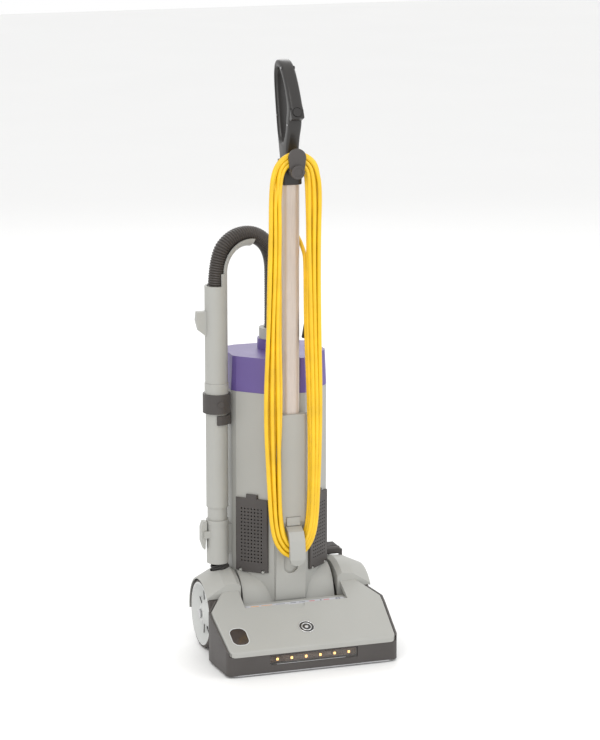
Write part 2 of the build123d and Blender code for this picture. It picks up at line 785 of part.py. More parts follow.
with BuildPart() as lower_drum:
    with BuildSketch(Plane.YZ.offset(-drum_width / 2)):
        with Locations((axle_y, axle_z)):
            Circle(drum_r)
        with Locations((shoulder_y, shoulder_z)):
            Circle(shoulder_r)
        make_hull()
    extrude(amount=drum_width)
    with BuildSketch(Plane.XY.offset(shoulder_z)):
        body_plan(0)
    extrude(amount=body_bottom_z - shoulder_z)
    with BuildSketch(Plane.YZ.offset(-body_width)):
        Polygon(
            (y_front, 0),
            (y_front, body_bottom_z),
            (y_back, body_bottom_z),
            (y_back - 4, body_bottom_z - 14),
            (y_back - 22, body_bottom_z - 34),
            (axle_y + drum_r - 1, axle_z),
            (axle_y + drum_r - 1, 0),
            align=None,
        )
    extrude(amount=2 * body_width, mode=Mode.INTERSECT)
    with BuildSketch(Plane.YZ.offset(-drum_width / 2 + wall)):
        with Locations((axle_y, axle_z)):
            Circle(drum_r - wall)
        with Locations((shoulder_y, shoulder_z)):
            Circle(shoulder_r - wall)
        make_hull()
    extrude(amount=drum_width - 2 * wall, mode=Mode.SUBTRACT)
    with BuildSketch(Plane.XY.offset(body_bottom_z - 12)):
        body_plan(wall)
    extrude(amount=40, mode=Mode.SUBTRACT)
    block(
        (wall - drum_width / 2, drum_width / 2 - wall),
        (shoulder_y, y_back - 39),
        (axle_z + 38, body_bottom_z - 8),
        Mode.SUBTRACT,
    )
    for side in (-1, 1):
        rod_x((side * drum_width / 2, side * (drum_width / 2 - 18)), axle_y, axle_z, trunnion_r + 5)
    rod_x((-drum_width, drum_width), axle_y, axle_z, trunnion_r + fit, Mode.SUBTRACT)
    for side in (-1, 1):
        for ear in (-hinge_ear_x, hinge_ear_x):
            with BuildSketch(hinge_plane(side).offset(ear - 2.5)):
                Circle(hinge_r)
                with Locations((-hinge_r, 0)):
                    Rectangle(2 * hinge_r + 2, 2 * hinge_r)
            extrude(amount=5)
            inner = ear - 10 if ear > 0 else ear
            with BuildSketch(hinge_plane(side).offset(inner)):
                Circle(hinge_pin_r)
            extrude(amount=10)
save(lower_drum, "lower_drum")

# ---------------------------------------------------------------- body shells
def door_opening(inset):
    """Opening behind a filter door, pulled in by inset, in the sketch being built."""
    with Locations((0, (door_opening_bottom_z + door_opening_top_z) / 2 - door_z)):
        Rectangle(
            door_width - 2 * (door_opening_margin + inset),
            door_opening_top_z - door_opening_bottom_z - 2 * inset,
        )


shell_wall = 2.8
shell_top_z = lid_z - 0.3
for name, keep in (("front_shell", Keep.TOP), ("rear_shell", Keep.BOTTOM)):
    with BuildPart() as shell:
        with BuildSketch(Plane.XY.offset(body_bottom_z)):
            body_plan(0)
        extrude(amount=shell_top_z - body_bottom_z)
        with BuildSketch(Plane.XY.offset(body_bottom_z)):
            body_plan(shell_wall)
        extrude(amount=shell_top_z - body_bottom_z, mode=Mode.SUBTRACT)
        split(bisect_by=Plane.XZ.offset(-shell_split_y), keep=keep)
        if name == "front_shell":
            for side in (-1, 1):
                with BuildSketch(door_frame(side)):
                    door_opening(0)
                extrude(amount=10, both=True, mode=Mode.SUBTRACT)
    save(shell, name)

# ---------------------------------------------------------------- filter doors, hinged at the lower edge
tab_width = 24.0
tab_height = 8.0
for side, name in ((-1, "left_filter_door"), (1, "right_filter_door")):
    frame = door_frame(side)
    face = frame.offset(gap)
    with BuildPart() as door:
        with BuildSketch(face):
            Rectangle(door_width, door_height)
            with Locations((0, door_height / 2 + tab_height / 2)):
                Rectangle(tab_width, tab_height)
        extrude(amount=door_thickness)
        chamfer(door.faces().sort_by(Axis(frame.origin, frame.z_dir))[-1].outer_wire().edges(), length=1.5)
        with BuildSketch(face.offset(-1)):
            with GridLocations(grille_pitch, grille_pitch, 7, 16):
                Circle(grille_hole_r)
        extrude(amount=door_thickness + 2, mode=Mode.SUBTRACT)
        for ear in (-hinge_ear_x, hinge_ear_x):
            with BuildSketch(hinge_plane(side).offset(ear - 3)):
                Rectangle(3 * hinge_r, 4 * hinge_r)
            extrude(amount=6, mode=Mode.SUBTRACT)
        with BuildSketch(hinge_plane(side).offset(-hinge_half)):
            Circle(hinge_r)
        extrude(amount=2 * hinge_half)
        with BuildSketch(hinge_plane(side).offset(-hinge_half - 1)):
            Circle(hinge_pin_r + fit)
        extrude(amount=2 * hinge_half + 2, mode=Mode.SUBTRACT)
    save(door, name)

# ---------------------------------------------------------------- spine cover over the foot of the mast
spine_half = spine_width / 2
hook_root_z = 250.0
spine_knee_y = spine_front_y + 7.0
spine_knee_z = hook_root_z - 8.0
spine_shin_y = -15.0
spine_shin_z = 170.0
button_bottom_z = 252.0
button_top_z = 269.0
button_half = 13.6
pocket_z = 167.0
pocket_r = 15.0
with BuildPart() as spine_cover:
    with BuildSketch(Plane.YZ.offset(-spine_half)):
        Polygon(
            (body_front_y - 0.2, spine_top_z),
            (spine_front_y, spine_top_z),
            (spine_front_y, hook_root_z + 10),
            (spine_knee_y, spine_knee_z),
            (spine_shin_y, spine_shin_z),
            (-13, 128),
            (-12, spine_bottom_z + 14),
            (-8.5, spine_bottom_z),
            (body_front_y - 0.2, spine_bottom_z),
            align=None,
        )
    extrude(amount=spine_width)
    fillet(spine_cover.edges().filter_by(GeomType.LINE).filter_by(Axis.Z).group_by(Axis.Y)[0], radius=9)
    with BuildSketch(Plane.XY.offset(mast_bottom_z)):
        with Locations((0, mast_y)):
            RectangleRounded(mast_width + 0.4, mast_depth + 0.4, mast_corner_r)
    extrude(amount=spine_top_z - mast_bottom_z + 1, mode=Mode.SUBTRACT)
    with BuildSketch(Plane.YZ.offset(-drum_width / 2)):
        with Locations((axle_y, axle_z)):
            Circle(drum_r + 0.2)
        with Locations((shoulder_y, shoulder_z)):
            Circle(shoulder_r + 0.2)
        make_hull()
    extrude(amount=drum_width, mode=Mode.SUBTRACT)
    rod_y(0, (-40, -8), pocket_z, pocket_r, Mode.SUBTRACT)
    block((-pocket_r, pocket_r), (-40, -8), (pocket_z, 200), Mode.SUBTRACT)
    block(
        (-button_half - gap, button_half + gap),
        (spine_front_y - 1, spine_front_y + 4.5),
        (button_bottom_z, button_top_z + gap),
        Mode.SUBTRACT,
    )
save(spine_cover, "spine_cover")

with BuildPart() as hook_button:
    button_z = (button_bottom_z + gap, button_top_z)
    block((-button_half, button_half), (spine_front_y - 2, spine_front_y + 1), button_z)
    fillet(hook_button.edges().filter_by(Axis.Y), radius=1.5)
save(hook_button, "hook_button")

hook_half = 15.5
hook_tip_z = 178.0
hook_slot_length = 150.0
hook_inner_y = spine_front_y - 21.5
spine_fall = (spine_shin_y - spine_knee_y) / (spine_knee_z - spine_shin_z)
hook_under_z = spine_knee_z - 4.0
with BuildPart() as lower_cord_hook:
    with BuildSketch(Plane.YZ.offset(-2 * hook_half)):
        Polygon(
            (spine_knee_y - (spine_knee_y - spine_front_y) / 2, hook_root_z + 1),
            (spine_front_y - 1.5, hook_root_z + 1),
            (spine_front_y - 17, 244),
            (spine_front_y - 26, 228),
            (spine_front_y - 29, 202),
            (spine_front_y - 29, 190),
            (spine_front_y - 26, hook_tip_z),
            (hook_inner_y, hook_tip_z),
            (hook_inner_y, 222),
            (spine_front_y - 12, 234),
            (spine_knee_y + spine_fall * (spine_knee_z - hook_under_z), hook_under_z),
            (spine_knee_y, spine_knee_z),
            align=None,
        )
    extrude(amount=4 * hook_half)
    with BuildSketch(Plane.XZ.offset(80)):
        with Locations((0, hook_tip_z + hook_slot_length / 2)):
            SlotOverall(hook_slot_length, 2 * hook_half, rotation=90)
    extrude(amount=-100, mode=Mode.INTERSECT)
save(lower_cord_hook, "lower_cord_hook")

# ---------------------------------------------------------------- mast
with BuildPart() as mast_tube:
    with BuildSketch(Plane.XY.offset(mast_bottom_z)):
        with Locations((0, mast_y)):
            RectangleRounded(mast_width, mast_depth, mast_corner_r)
            RectangleRounded(
                mast_width - 2 * mast_wall,
                mast_depth - 2 * mast_wall,
                mast_corner_r - mast_wall,
                mode=Mode.SUBTRACT,
            )
    extrude(amount=mast_top_z - mast_bottom_z)
save(mast_tube, "mast_tube")

# ---------------------------------------------------------------- handle, two halves around the mast's top
handle_front_y = mast_y - 18.5
handle_back_y = mast_y + 18.5
hook_pin_r = 4.0
hook_pin_length = 9.0
handle_outer = [
    (handle_front_y, handle_base_z),
    (handle_back_y, handle_base_z),
    (mast_y + 21, 950),
    (26, 988),
    (39, 1050),
    (49, 1105),
    (50, 1128),
    (44, 1139),
    (32, overall_height),
    (14, 1141),
    (-8, 1127),
    (-30, 1101),
    (-46, 1074),
    (-52, 1062),
    (-45, 1043),
    (-44, 1028),
    (-33, 1005),
    (handle_front_y, 980),
]
handle_opening = [
    (4, 996),
    (18, 1004),
    (30, 1052),
    (40, 1108),
    (38, 1124),
    (28, 1129),
    (14, 1124),
    (-6, 1106),
    (-20, 1082),
    (-27, 1062),
    (-22, 1042),
    (-22, 1026),
    (-10, 1003),
]
tilt = radians(rocker_tilt)
switch_plane = Plane(origin=(0, rocker_y, rocker_z), x_dir=(1, 0, 0), z_dir=(0, -cos(tilt), sin(tilt)))
switch_recess_depth = 8.0
rocker_depth = 3.0  # from the switch's face to the rocker's pivot
for side, name in ((-1, "handle_left"), (1, "handle_right")):
    with BuildPart() as handle:
        with BuildSketch(Plane.YZ):
            Polygon(*handle_outer, align=None)
            Polygon(*handle_opening, align=None, mode=Mode.SUBTRACT)
        extrude(amount=side * handle_width / 2)
        block((0, side * handle_base_width / 2), (handle_front_y, handle_back_y), (handle_base_z, 962))
        with BuildSketch(Plane.XY.offset(handle_base_z - 1)):
            with Locations((0, mast_y)):
                RectangleRounded(mast_width + 0.4, mast_depth + 0.4, mast_corner_r)
        extrude(amount=mast_top_z - handle_base_z + 1.3, mode=Mode.SUBTRACT)
        bore_y = (mast_y - 40, handle_front_y + hook_pin_length + gap)
        rod_y(0, bore_y, hook_z, hook_pin_r + fit, Mode.SUBTRACT)
        with BuildSketch(switch_plane.offset(2)):
            Circle(rocker_r + 0.6)
        extrude(amount=-switch_recess_depth - 2, mode=Mode.SUBTRACT)
    save(handle, name)

# ---------------------------------------------------------------- power switch
with BuildPart() as switch_bezel:
    with BuildSketch(switch_plane):
        RectangleRounded(25, 25, 3)
    extrude(amount=-13)
    with BuildSketch(switch_plane.offset(1)):
        Circle(rocker_r + 0.6)
    extrude(amount=-switch_recess_depth - 1, mode=Mode.SUBTRACT)
    with BuildSketch(Plane.YZ.offset(-30)):
        Polygon(*handle_outer, align=None)
        Polygon(*handle_opening, align=None, mode=Mode.SUBTRACT)
    extrude(amount=60, mode=Mode.SUBTRACT)
save(switch_bezel, "switch_bezel")

with BuildPart() as power_rocker:
    with BuildSketch(switch_plane.offset(-1.5)):
        Circle(rocker_r - 0.3)
    extrude(amount=2.6)
    rod_x((-5, 5), rocker_y + rocker_depth * cos(tilt), rocker_z - rocker_depth * sin(tilt), rocker_depth)
save(power_rocker, "power_rocker")

# ---------------------------------------------------------------- turning cord hook on the handle's base
plate_thick = 5.0
knob_r = 13.0
plate_half = 17.0
plate_top_r_z = hook_z + 27.0
with BuildPart() as upper_cord_hook:
    rod_y(0, (handle_front_y - gap, hook_plate_y), hook_z, hook_post_r)
    rod_y(0, (handle_front_y - gap - 1, handle_front_y + hook_pin_length), hook_z, hook_pin_r)
    with BuildSketch(Plane.XZ.offset(-hook_plate_y)):
        with Locations((0, hook_z)):
            Circle(knob_r + 0.5)
        with Locations((0, plate_top_r_z)):
            Circle(plate_half)
        make_hull()
    extrude(amount=plate_thick)
    knob_y = hook_plate_y - plate_thick - 5
    rod_y(0, (hook_plate_y - plate_thick, knob_y), hook_z, knob_r)
    rod_y(0, (knob_y, knob_y + 1), hook_z, knob_r - 4, Mode.SUBTRACT)
save(upper_cord_hook, "upper_cord_hook")

# ---------------------------------------------------------------- suction motor, filters and bag
deck_z = 286.0
side_filter_depth = 14.0
housing_top_z = motor_z + 92.0
housing_bore_r = motor_r - 2.5
flange_r = motor_r + 5.0
with BuildPart() as motor_housing:
    with BuildSketch(Plane.XY.offset(housing_top_z - 4)):
        with Locations((0, motor_y)):
            Circle(flange_r)
        with BuildSketch(mode=Mode.PRIVATE) as room:
            body_plan(shell_wall + 0.3)
        add(room.sketch, mode=Mode.INTERSECT)
    extrude(amount=4)
    rod_z(0, motor_y, (body_bottom_z - 12, housing_top_z), motor_r)
    rod_z(0, motor_y, (motor_z, housing_top_z + 1), housing_bore_r, Mode.SUBTRACT)
    rod_z(0, motor_y, (body_bottom_z - 13, motor_z + 1), motor_r - 30, Mode.SUBTRACT)
save(motor_housing, "motor_housing")

rotor_r = 26.0
fan_r = motor_r - 8.0
fan_blades = 8
with BuildPart() as motor_stator:
    rod_z(0, motor_y, (motor_z, motor_z + 56), motor_r - 12)
    rod_z(0, motor_y, (motor_z, motor_z + 8), housing_bore_r)
    rod_z(0, motor_y, (motor_z + 8, motor_z + 57), rotor_r + 1, Mode.SUBTRACT)
    rod_z(0, motor_y, (motor_z - 1, motor_z + 10), shaft_r + fit, Mode.SUBTRACT)
save(motor_stator, "motor_stator")

with BuildPart() as motor_rotor:
    rod_z(0, motor_y, (motor_z + 3, motor_z + 82), shaft_r)
    rod_z(0, motor_y, (motor_z + 12, motor_z + 54), rotor_r)
    rod_z(0, motor_y, (motor_z + 64, motor_z + 66), fan_r)
    rod_z(0, motor_y, (motor_z + 76, motor_z + 78), fan_r)
    with BuildSketch(Plane.XY.offset(motor_z + 66)):
        with Locations((0, motor_y)):
            with PolarLocations((fan_r + shaft_r) / 2 - 1, fan_blades):
                Rectangle(fan_r - shaft_r, 1.6)
    extrude(amount=10)
save(motor_rotor, "motor_rotor")

with BuildPart() as filters:
    rod_z(0, motor_y, (housing_top_z, deck_z + 4), motor_r - 6)
    for side in (-1, 1):
        with BuildSketch(door_frame(side).offset(-side_filter_depth)):
            door_opening(0.5)
        extrude(amount=side_filter_depth - 1.5)
save(filters, "filters")

bag_top_z = 492.0
with BuildPart() as filter_bag:
    with BuildSketch(Plane.XY.offset(deck_z + 8)):
        with Locations((0, motor_y + 5)):
            RectangleRounded(120, 84, 30)
    with BuildSketch(Plane.XY.offset((deck_z + bag_top_z) / 2)):
        with Locations((0, motor_y + 5)):
            RectangleRounded(160, 112, 40)
    with BuildSketch(Plane.XY.offset(bag_top_z)):
        with Locations((0, motor_y + 5)):
            RectangleRounded(120, 84, 30)
    loft()
save(filter_bag, "filter_bag")

with BuildPart() as bag_dock:
    with BuildSketch(Plane.XY.offset(bag_top_z)):
        body_plan(shell_wall + 0.3)
    extrude(amount=5)
    rod_z(0, hose_lid_y, (bag_top_z + 5, bag_top_z + 18), hose_r + 7)
    rod_z(0, hose_lid_y, (bag_top_z + 2, bag_top_z + 19), hose_r + 2, Mode.SUBTRACT)
save(bag_dock, "bag_dock")

# ---------------------------------------------------------------- lid with its hose neck
lid_top_z = lid_z + lid_height
lid_draft = degrees(atan(lid_taper / lid_height))
with BuildPart() as lid:
    with BuildSketch(Plane.XY.offset(lid_z)):
        body_plan(0)
    extrude(amount=lid_height, taper=lid_draft)
    with BuildSketch(Plane.XY.offset(lid_z)):
        body_plan(wall)
    extrude(amount=lid_height - wall, taper=lid_draft, mode=Mode.SUBTRACT)
    rod_z(0, hose_lid_y, (lid_top_z - wall, neck_top_z), neck_r)
    rod_z(0, hose_lid_y, (lid_top_z - wall - 1, neck_top_z + 1), hose_r + 4, Mode.SUBTRACT)
save(lid, "lid")

with BuildPart() as hose_cuff:
    rod_z(0, hose_lid_y, (neck_top_z + 0.3, neck_top_z + cuff_height), cuff_r)
    rod_z(0, hose_lid_y, (neck_top_z - 12, neck_top_z + 0.3), hose_r + 4 - fit)
    rod_z(0, hose_lid_y, (neck_top_z - 13, neck_top_z + cuff_height + 1), hose_r + 1, Mode.SUBTRACT)
save(hose_cuff, "hose_cuff")

# ---------------------------------------------------------------- hose, from the wand's grip over to the lid
hose_span = sqrt((0 - wand_x) ** 2 + (hose_lid_y - wand_y) ** 2)
lean_x = -wand_x / hose_span
lean_y = (hose_lid_y - wand_y) / hose_span
hose_points = [
    (wand_x, wand_y, 684.0),
    (wand_x, wand_y, 768.0),
    (wand_x + 39.0 * lean_x, wand_y + 39.0 * lean_y, 807.0),
    (wand_x + 95.0 * lean_x, wand_y + 95.0 * lean_y, 807.0),
    (0.0, hose_lid_y, 768.0),
    (0.4, hose_lid_y, 690.0),
    (0.0, hose_lid_y, 612.0),
    (-0.3, hose_lid_y, 524.0),
]


def corner_radii(points):
    """Largest arc that each corner of a route leaves room for, 0.45 of the shorter run beside it."""
    radii = []
    for i in range(1, len(points) - 1):
        before = Vector(*points[i]) - Vector(*points[i - 1])
        after = Vector(*points[i + 1]) - Vector(*points[i])
        turn = radians(before.get_angle(after))
        radii.append(0.45 * min(before.length, after.length) / tan(turn / 2))
    return radii


def tube_along(points, r, name):
    """Plain tube along a route of straight runs and tangent arcs, with its volume compared."""
    radii = corner_radii(points)
    print(name, "radii", [round(value) for value in radii])
    with BuildPart() as tube:
        with BuildLine() as path:
            FilletPolyline(*points, radius=radii)
        with BuildSketch(Plane(origin=path.line @ 0, z_dir=path.line % 0)):
            Circle(r)
        sweep()
    length = sum(edge.length for edge in path.line.edges())
    ratio = tube.part.volume / (pi * r * r * length)
    print(name, "length", round(length, 1), "volume ratio", round(ratio, 4))
    return tube


hose = tube_along(hose_points, hose_r, "hose")
save(hose, "hose")

# ---------------------------------------------------------------- wand: lower tube, collar, grip tube
with BuildPart() as wand_tube:
    rod_z(wand_x, wand_y, (wand_shoulder_z, collar_step_z - 6), wand_r)
    rod_z(wand_x, wand_y, (wand_tip_bottom_z, wand_shoulder_z), wand_tip_r)
    rod_z(wand_x, wand_y, (wand_tip_bottom_z - 1, wand_shoulder_z + 4), wand_tip_r - 2, Mode.SUBTRACT)
    rod_z(wand_x, wand_y, (wand_shoulder_z + 4, collar_step_z), wand_r - wand_wall, Mode.SUBTRACT)
save(wand_tube, "wand_tube")

button_r = 6.0
with BuildPart() as telescope_collar:
    rod_z(wand_x, wand_y, (collar_bottom_z, collar_step_z), collar_r)
    rod_z(wand_x, wand_y, (collar_bottom_z - 1, collar_step_z - 6), wand_r, Mode.SUBTRACT)
    rod_z(wand_x, wand_y, (collar_step_z - 7, collar_step_z + 1), wand_r - wand_wall, Mode.SUBTRACT)
    rod_y(wand_x, (wand_y - collar_r - 2, wand_y - wand_r - 1.5), 487, button_r + fit, Mode.SUBTRACT)
save(telescope_collar, "telescope_collar")

with BuildPart() as telescope_button:
    rod_y(wand_x, (wand_y - collar_r - 1.5, wand_y - wand_r - 4), 487, button_r)
save(telescope_button, "telescope_button")

inner_r = wand_r - wand_wall - 0.3
with BuildPart() as wand_handle:
    rod_z(wand_x, wand_y, (wand_shoulder_z + 5, collar_step_z + 12), inner_r)
    rod_z(wand_x, wand_y, (collar_step_z + 0.4, collar_top_z), collar_top_r)
    rod_z(wand_x, wand_y, (collar_top_z, handle_rim_z), handle_tube_r)
    rod_z(wand_x, wand_y, (wand_shoulder_z, collar_top_z), inner_r - 2, Mode.SUBTRACT)
    rod_z(wand_x, wand_y, (collar_top_z - 1, handle_rim_z + 1), hose_r + 1.5, Mode.SUBTRACT)
    lean_plane = Plane(origin=(wand_x, wand_y, handle_rim_z), x_dir=(lean_x, lean_y, 0), z_dir=(0, 0, 1))
    with BuildSketch(lean_plane):
        Circle(handle_tube_r)
        Circle(hose_r + 1.5, mode=Mode.SUBTRACT)
        with Locations((-handle_tube_r, 0)):
            Rectangle(2 * handle_tube_r, 3 * handle_tube_r, mode=Mode.SUBTRACT)
    extrude(amount=handle_straight_top_z - handle_rim_z)
    bend_x = wand_x + hose_bend_r * lean_x
    bend_y = wand_y + hose_bend_r * lean_y
    with BuildSketch(lean_plane.offset(handle_straight_top_z - handle_rim_z)):
        Circle(handle_tube_r)
        Circle(hose_r + 1.5, mode=Mode.SUBTRACT)
        with Locations((-handle_tube_r + 6, 0)):
            Rectangle(2 * handle_tube_r, 3 * handle_tube_r, mode=Mode.SUBTRACT)
    revolve(
        axis=Axis((bend_x, bend_y, handle_straight_top_z), (-lean_y, lean_x, 0)),
        revolution_arc=lip_arc,
    )
    with BuildSketch(Plane.XZ.offset(-wand_y - 7)):
        Polygon(
            (wand_x - handle_tube_r + 1, 667),
            (wand_x - handle_tube_r - 17, 667),
            (wand_x - handle_tube_r - 19, 650),
            (wand_x - handle_tube_r - 14, 630),
            (wand_x - handle_tube_r + 1, 618),
            align=None,
        )
    extrude(amount=14)
save(wand_handle, "wand_handle")

# ---------------------------------------------------------------- wand socket, its latch and clip
body_side_x = -body_width / 2
latch_pivot_x = wand_x - socket_r - 5.0
latch_pivot_z = 226.0
latch_width = 16.0
latch_pin_r = 2.0
with BuildPart() as wand_socket:
    rod_z(wand_x, wand_y, (socket_bottom_z, socket_top_z - 8), socket_r)
    rod_z(wand_x, wand_y, (socket_top_z - 8, socket_top_z), socket_r + 1.2)
    block((wand_x + 10, body_side_x), (axle_y + 11, axle_y + 26), (180, 240))
    for side in (-1, 1):
        block(
            (latch_pivot_x - 4, wand_x - 14),
            (wand_y + side * (latch_width / 2 + 0.4), wand_y + side * (latch_width / 2 + 3.4)),
            (latch_pivot_z - 7, latch_pivot_z + 7),
        )
    pin_y = (wand_y - latch_width / 2 - 3.4, wand_y + latch_width / 2 + 3.4)
    rod_y(latch_pivot_x, pin_y, latch_pivot_z, latch_pin_r)
    rod_z(wand_x, wand_y, (socket_bottom_z - 1, wand_tip_bottom_z - 1), neck_hose_r - 1, Mode.SUBTRACT)
    rod_z(wand_x, wand_y, (wand_tip_bottom_z - 1, socket_top_z + 1), wand_tip_r + 0.15, Mode.SUBTRACT)
save(wand_socket, "wand_socket")

with BuildPart() as wand_latch:
    with BuildSketch(Plane.XZ.offset(-wand_y - latch_width / 2)):
        Polygon(
            (wand_x - socket_r - 2.2, 252),
            (wand_x - socket_r - 9, 252),
            (wand_x - socket_r - 13, 240),
            (wand_x - socket_r - 13, 212),
            (wand_x - socket_r - 7.5, 196),
            (wand_x - socket_r - 5.5, 196),
            (wand_x - socket_r - 2.2, 232),
            align=None,
        )
    extrude(amount=latch_width)
    rod_y(latch_pivot_x, (wand_y - 20, wand_y + 20), latch_pivot_z, latch_pin_r + fit, Mode.SUBTRACT)
save(wand_latch, "wand_latch")

with BuildPart() as wand_clip:
    rod_z(wand_x, wand_y, (446, 464), wand_r + 4.2)
    block((wand_x + 12, body_side_x), (wand_y + 5, wand_y + 19), (440, 464))
    rod_z(wand_x, wand_y, (430, 470), wand_r + 0.3, Mode.SUBTRACT)
    block((wand_x - 40, wand_x - 6), (wand_y - 40, wand_y + 40), (430, 470), Mode.SUBTRACT)
save(wand_clip, "wand_clip")

# ---------------------------------------------------------------- power cord
relief_y = handle_back_y + 4.5
lead_points = [
    (0.0, relief_y, 900.0),
    (0.0, relief_y, 862.0),
    (10.0, relief_y, 832.0),
    (24.0, relief_y - 7, 806.0),
    (27.0, relief_y - 25, 786.0),
    (24.0, hank_back_y, 774.0),
]
with BuildPart() as strain_relief:
    block((-9, 9), (handle_back_y, relief_y + 6), (930, 944))
    with BuildSketch(Plane.XY.offset(930)):
        with Locations((0, relief_y)):
            Circle(7)
    with BuildSketch(Plane.XY.offset(lead_points[0][2])):
        with Locations((0, relief_y)):
            Circle(cord_r + 1)
    loft()
    with BuildSketch(Plane.YZ.offset(-handle_base_width)):
        Polygon(*handle_outer, align=None)
    extrude(amount=2 * handle_base_width, mode=Mode.SUBTRACT)
save(strain_relief, "strain_relief")

cord_lead = tube_along(lead_points, cord_r, "cord_lead")
save(cord_lead, "cord_lead")

hank_left_inner = -27.0
hank_right_inner = 17.0
with BuildPart() as cord_hank:
    with BuildSketch(Plane.XZ.offset(-hank_back_y)):
        with Locations((0, hank_top_z - hank_half_width)):
            Circle(hank_half_width)
        with Locations((0, hank_bottom_z + hank_half_width)):
            Circle(hank_half_width)
        make_hull()
        with BuildSketch(mode=Mode.PRIVATE) as eye:
            with Locations(((hank_left_inner + hank_right_inner) / 2, 935)):
                Circle((hank_right_inner - hank_left_inner) / 2)
            with Locations(((hank_left_inner + hank_right_inner) / 2, 226)):
                Circle((hank_right_inner - hank_left_inner) / 2)
            make_hull()
        add(eye.sketch, mode=Mode.SUBTRACT)
    extrude(amount=hank_back_y - hank_front_y)
save(cord_hank, "cord_hank")

tail_points = [
    (38.0, hank_back_y, 732.0),
    (38.0, hank_back_y + 11, 714.0),
    (37.6, hank_back_y + 18, 694.0),
    (37.6, hank_back_y + 18, 668.0),
]
cord_tail = tube_along(tail_points, cord_r, "cord_tail")
save(cord_tail, "cord_tail")

plug_x = tail_points[-1][0]
plug_y = tail_points[-1][1]
plug_top_z = tail_points[-1][2]
with BuildPart() as plug:
    rod_z(plug_x, plug_y, (plug_top_z - 22, plug_top_z), 7)
    rod_z(plug_x, plug_y, (plug_top_z - 50, plug_top_z - 20), 15)
    chamfer(plug.edges().filter_by(GeomType.CIRCLE).group_by(Axis.Z)[-1], length=1.5)
    for x in (plug_x - 6.5, plug_x + 6.5):
        block((x - 0.8, x + 0.8), (plug_y - 3.2, plug_y + 3.2), (plug_top_z - 68, plug_top_z - 49))
    rod_z(plug_x, plug_y - 9, (plug_top_z - 70, plug_top_z - 49), 2.4)
save(plug, "plug")
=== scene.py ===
import json
import math

import bmesh
import bpy
from bpy.props import FloatProperty, FloatVectorProperty, IntProperty, PointerProperty
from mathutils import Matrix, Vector


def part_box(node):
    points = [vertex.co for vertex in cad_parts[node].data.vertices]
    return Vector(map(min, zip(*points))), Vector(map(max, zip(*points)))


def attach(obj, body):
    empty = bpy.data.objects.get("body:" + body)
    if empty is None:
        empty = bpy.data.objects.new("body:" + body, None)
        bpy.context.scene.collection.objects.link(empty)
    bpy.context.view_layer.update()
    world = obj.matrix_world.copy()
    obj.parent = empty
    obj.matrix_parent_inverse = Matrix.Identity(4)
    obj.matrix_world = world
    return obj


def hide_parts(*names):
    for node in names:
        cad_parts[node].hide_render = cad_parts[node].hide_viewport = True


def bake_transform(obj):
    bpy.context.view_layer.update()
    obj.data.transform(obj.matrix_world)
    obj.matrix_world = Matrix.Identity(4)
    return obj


bl_info = {
    "name": "Upright vacuum cleaner",
    "version": (1, 0, 0),
    "blender": (4, 5, 0),
    "location": "View3D > Sidebar > Vacuum",
    "description": "Finishes, hose, power cord and small fittings around the packed frame of the cleaner",
    "category": "Object",
}

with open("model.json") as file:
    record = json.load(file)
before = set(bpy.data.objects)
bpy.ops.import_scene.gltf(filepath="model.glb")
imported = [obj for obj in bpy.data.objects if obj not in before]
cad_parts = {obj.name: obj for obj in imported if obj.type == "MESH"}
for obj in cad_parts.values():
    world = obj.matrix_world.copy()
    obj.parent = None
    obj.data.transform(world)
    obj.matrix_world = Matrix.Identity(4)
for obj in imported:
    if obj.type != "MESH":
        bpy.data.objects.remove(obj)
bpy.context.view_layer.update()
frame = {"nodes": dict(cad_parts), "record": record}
NODES = frame["nodes"]

# Where the big parts stand, in metres: the wand, the hose's port, and the routes of hose and cord.
WAND = Vector((-0.127, 0.057, 0.0))
HOSE_PORT = Vector((0.0, 0.100, 0.0))
LEAN = (HOSE_PORT - WAND).normalized()
HOSE_ROUTE = [
    (WAND.x, WAND.y, 0.684),
    (WAND.x, WAND.y, 0.768),
    (WAND.x + 0.039 * LEAN.x, WAND.y + 0.039 * LEAN.y, 0.807),
    (WAND.x + 0.095 * LEAN.x, WAND.y + 0.095 * LEAN.y, 0.807),
    (0.0, 0.100, 0.768),
    (0.0004, 0.100, 0.690),
    (0.0, 0.100, 0.612),
    (-0.0003, 0.100, 0.524),
]
LEAD_ROUTE = [
    (0.0, 0.015, 0.900),
    (0.0, 0.015, 0.862),
    (0.010, 0.015, 0.832),
    (0.024, 0.008, 0.806),
    (0.027, -0.010, 0.786),
    (0.024, -0.030, 0.774),
]
TAIL_ROUTE = [
    (0.038, -0.030, 0.732),
    (0.038, -0.019, 0.714),
    (0.0376, -0.012, 0.694),
    (0.0376, -0.012, 0.668),
]

# The floor head's sloping cover: its height at the front, its slope and the places of its fittings.
COVER_FRONT = Vector((0.0, -0.155, 0.050))
COVER_SLOPE = 0.49
COVER_TILT = math.atan(COVER_SLOPE)
BADGE_PLACE = (0.0, -0.109)
WINDOW_PLACE = (-0.137, -0.117)
LAMP_PITCH = 0.0285
LAMP_COUNT = 6
LAMP_Z = 0.028
SHELF_Z = 0.09994
AXLE = Vector((0.0, 0.050, 0.067))
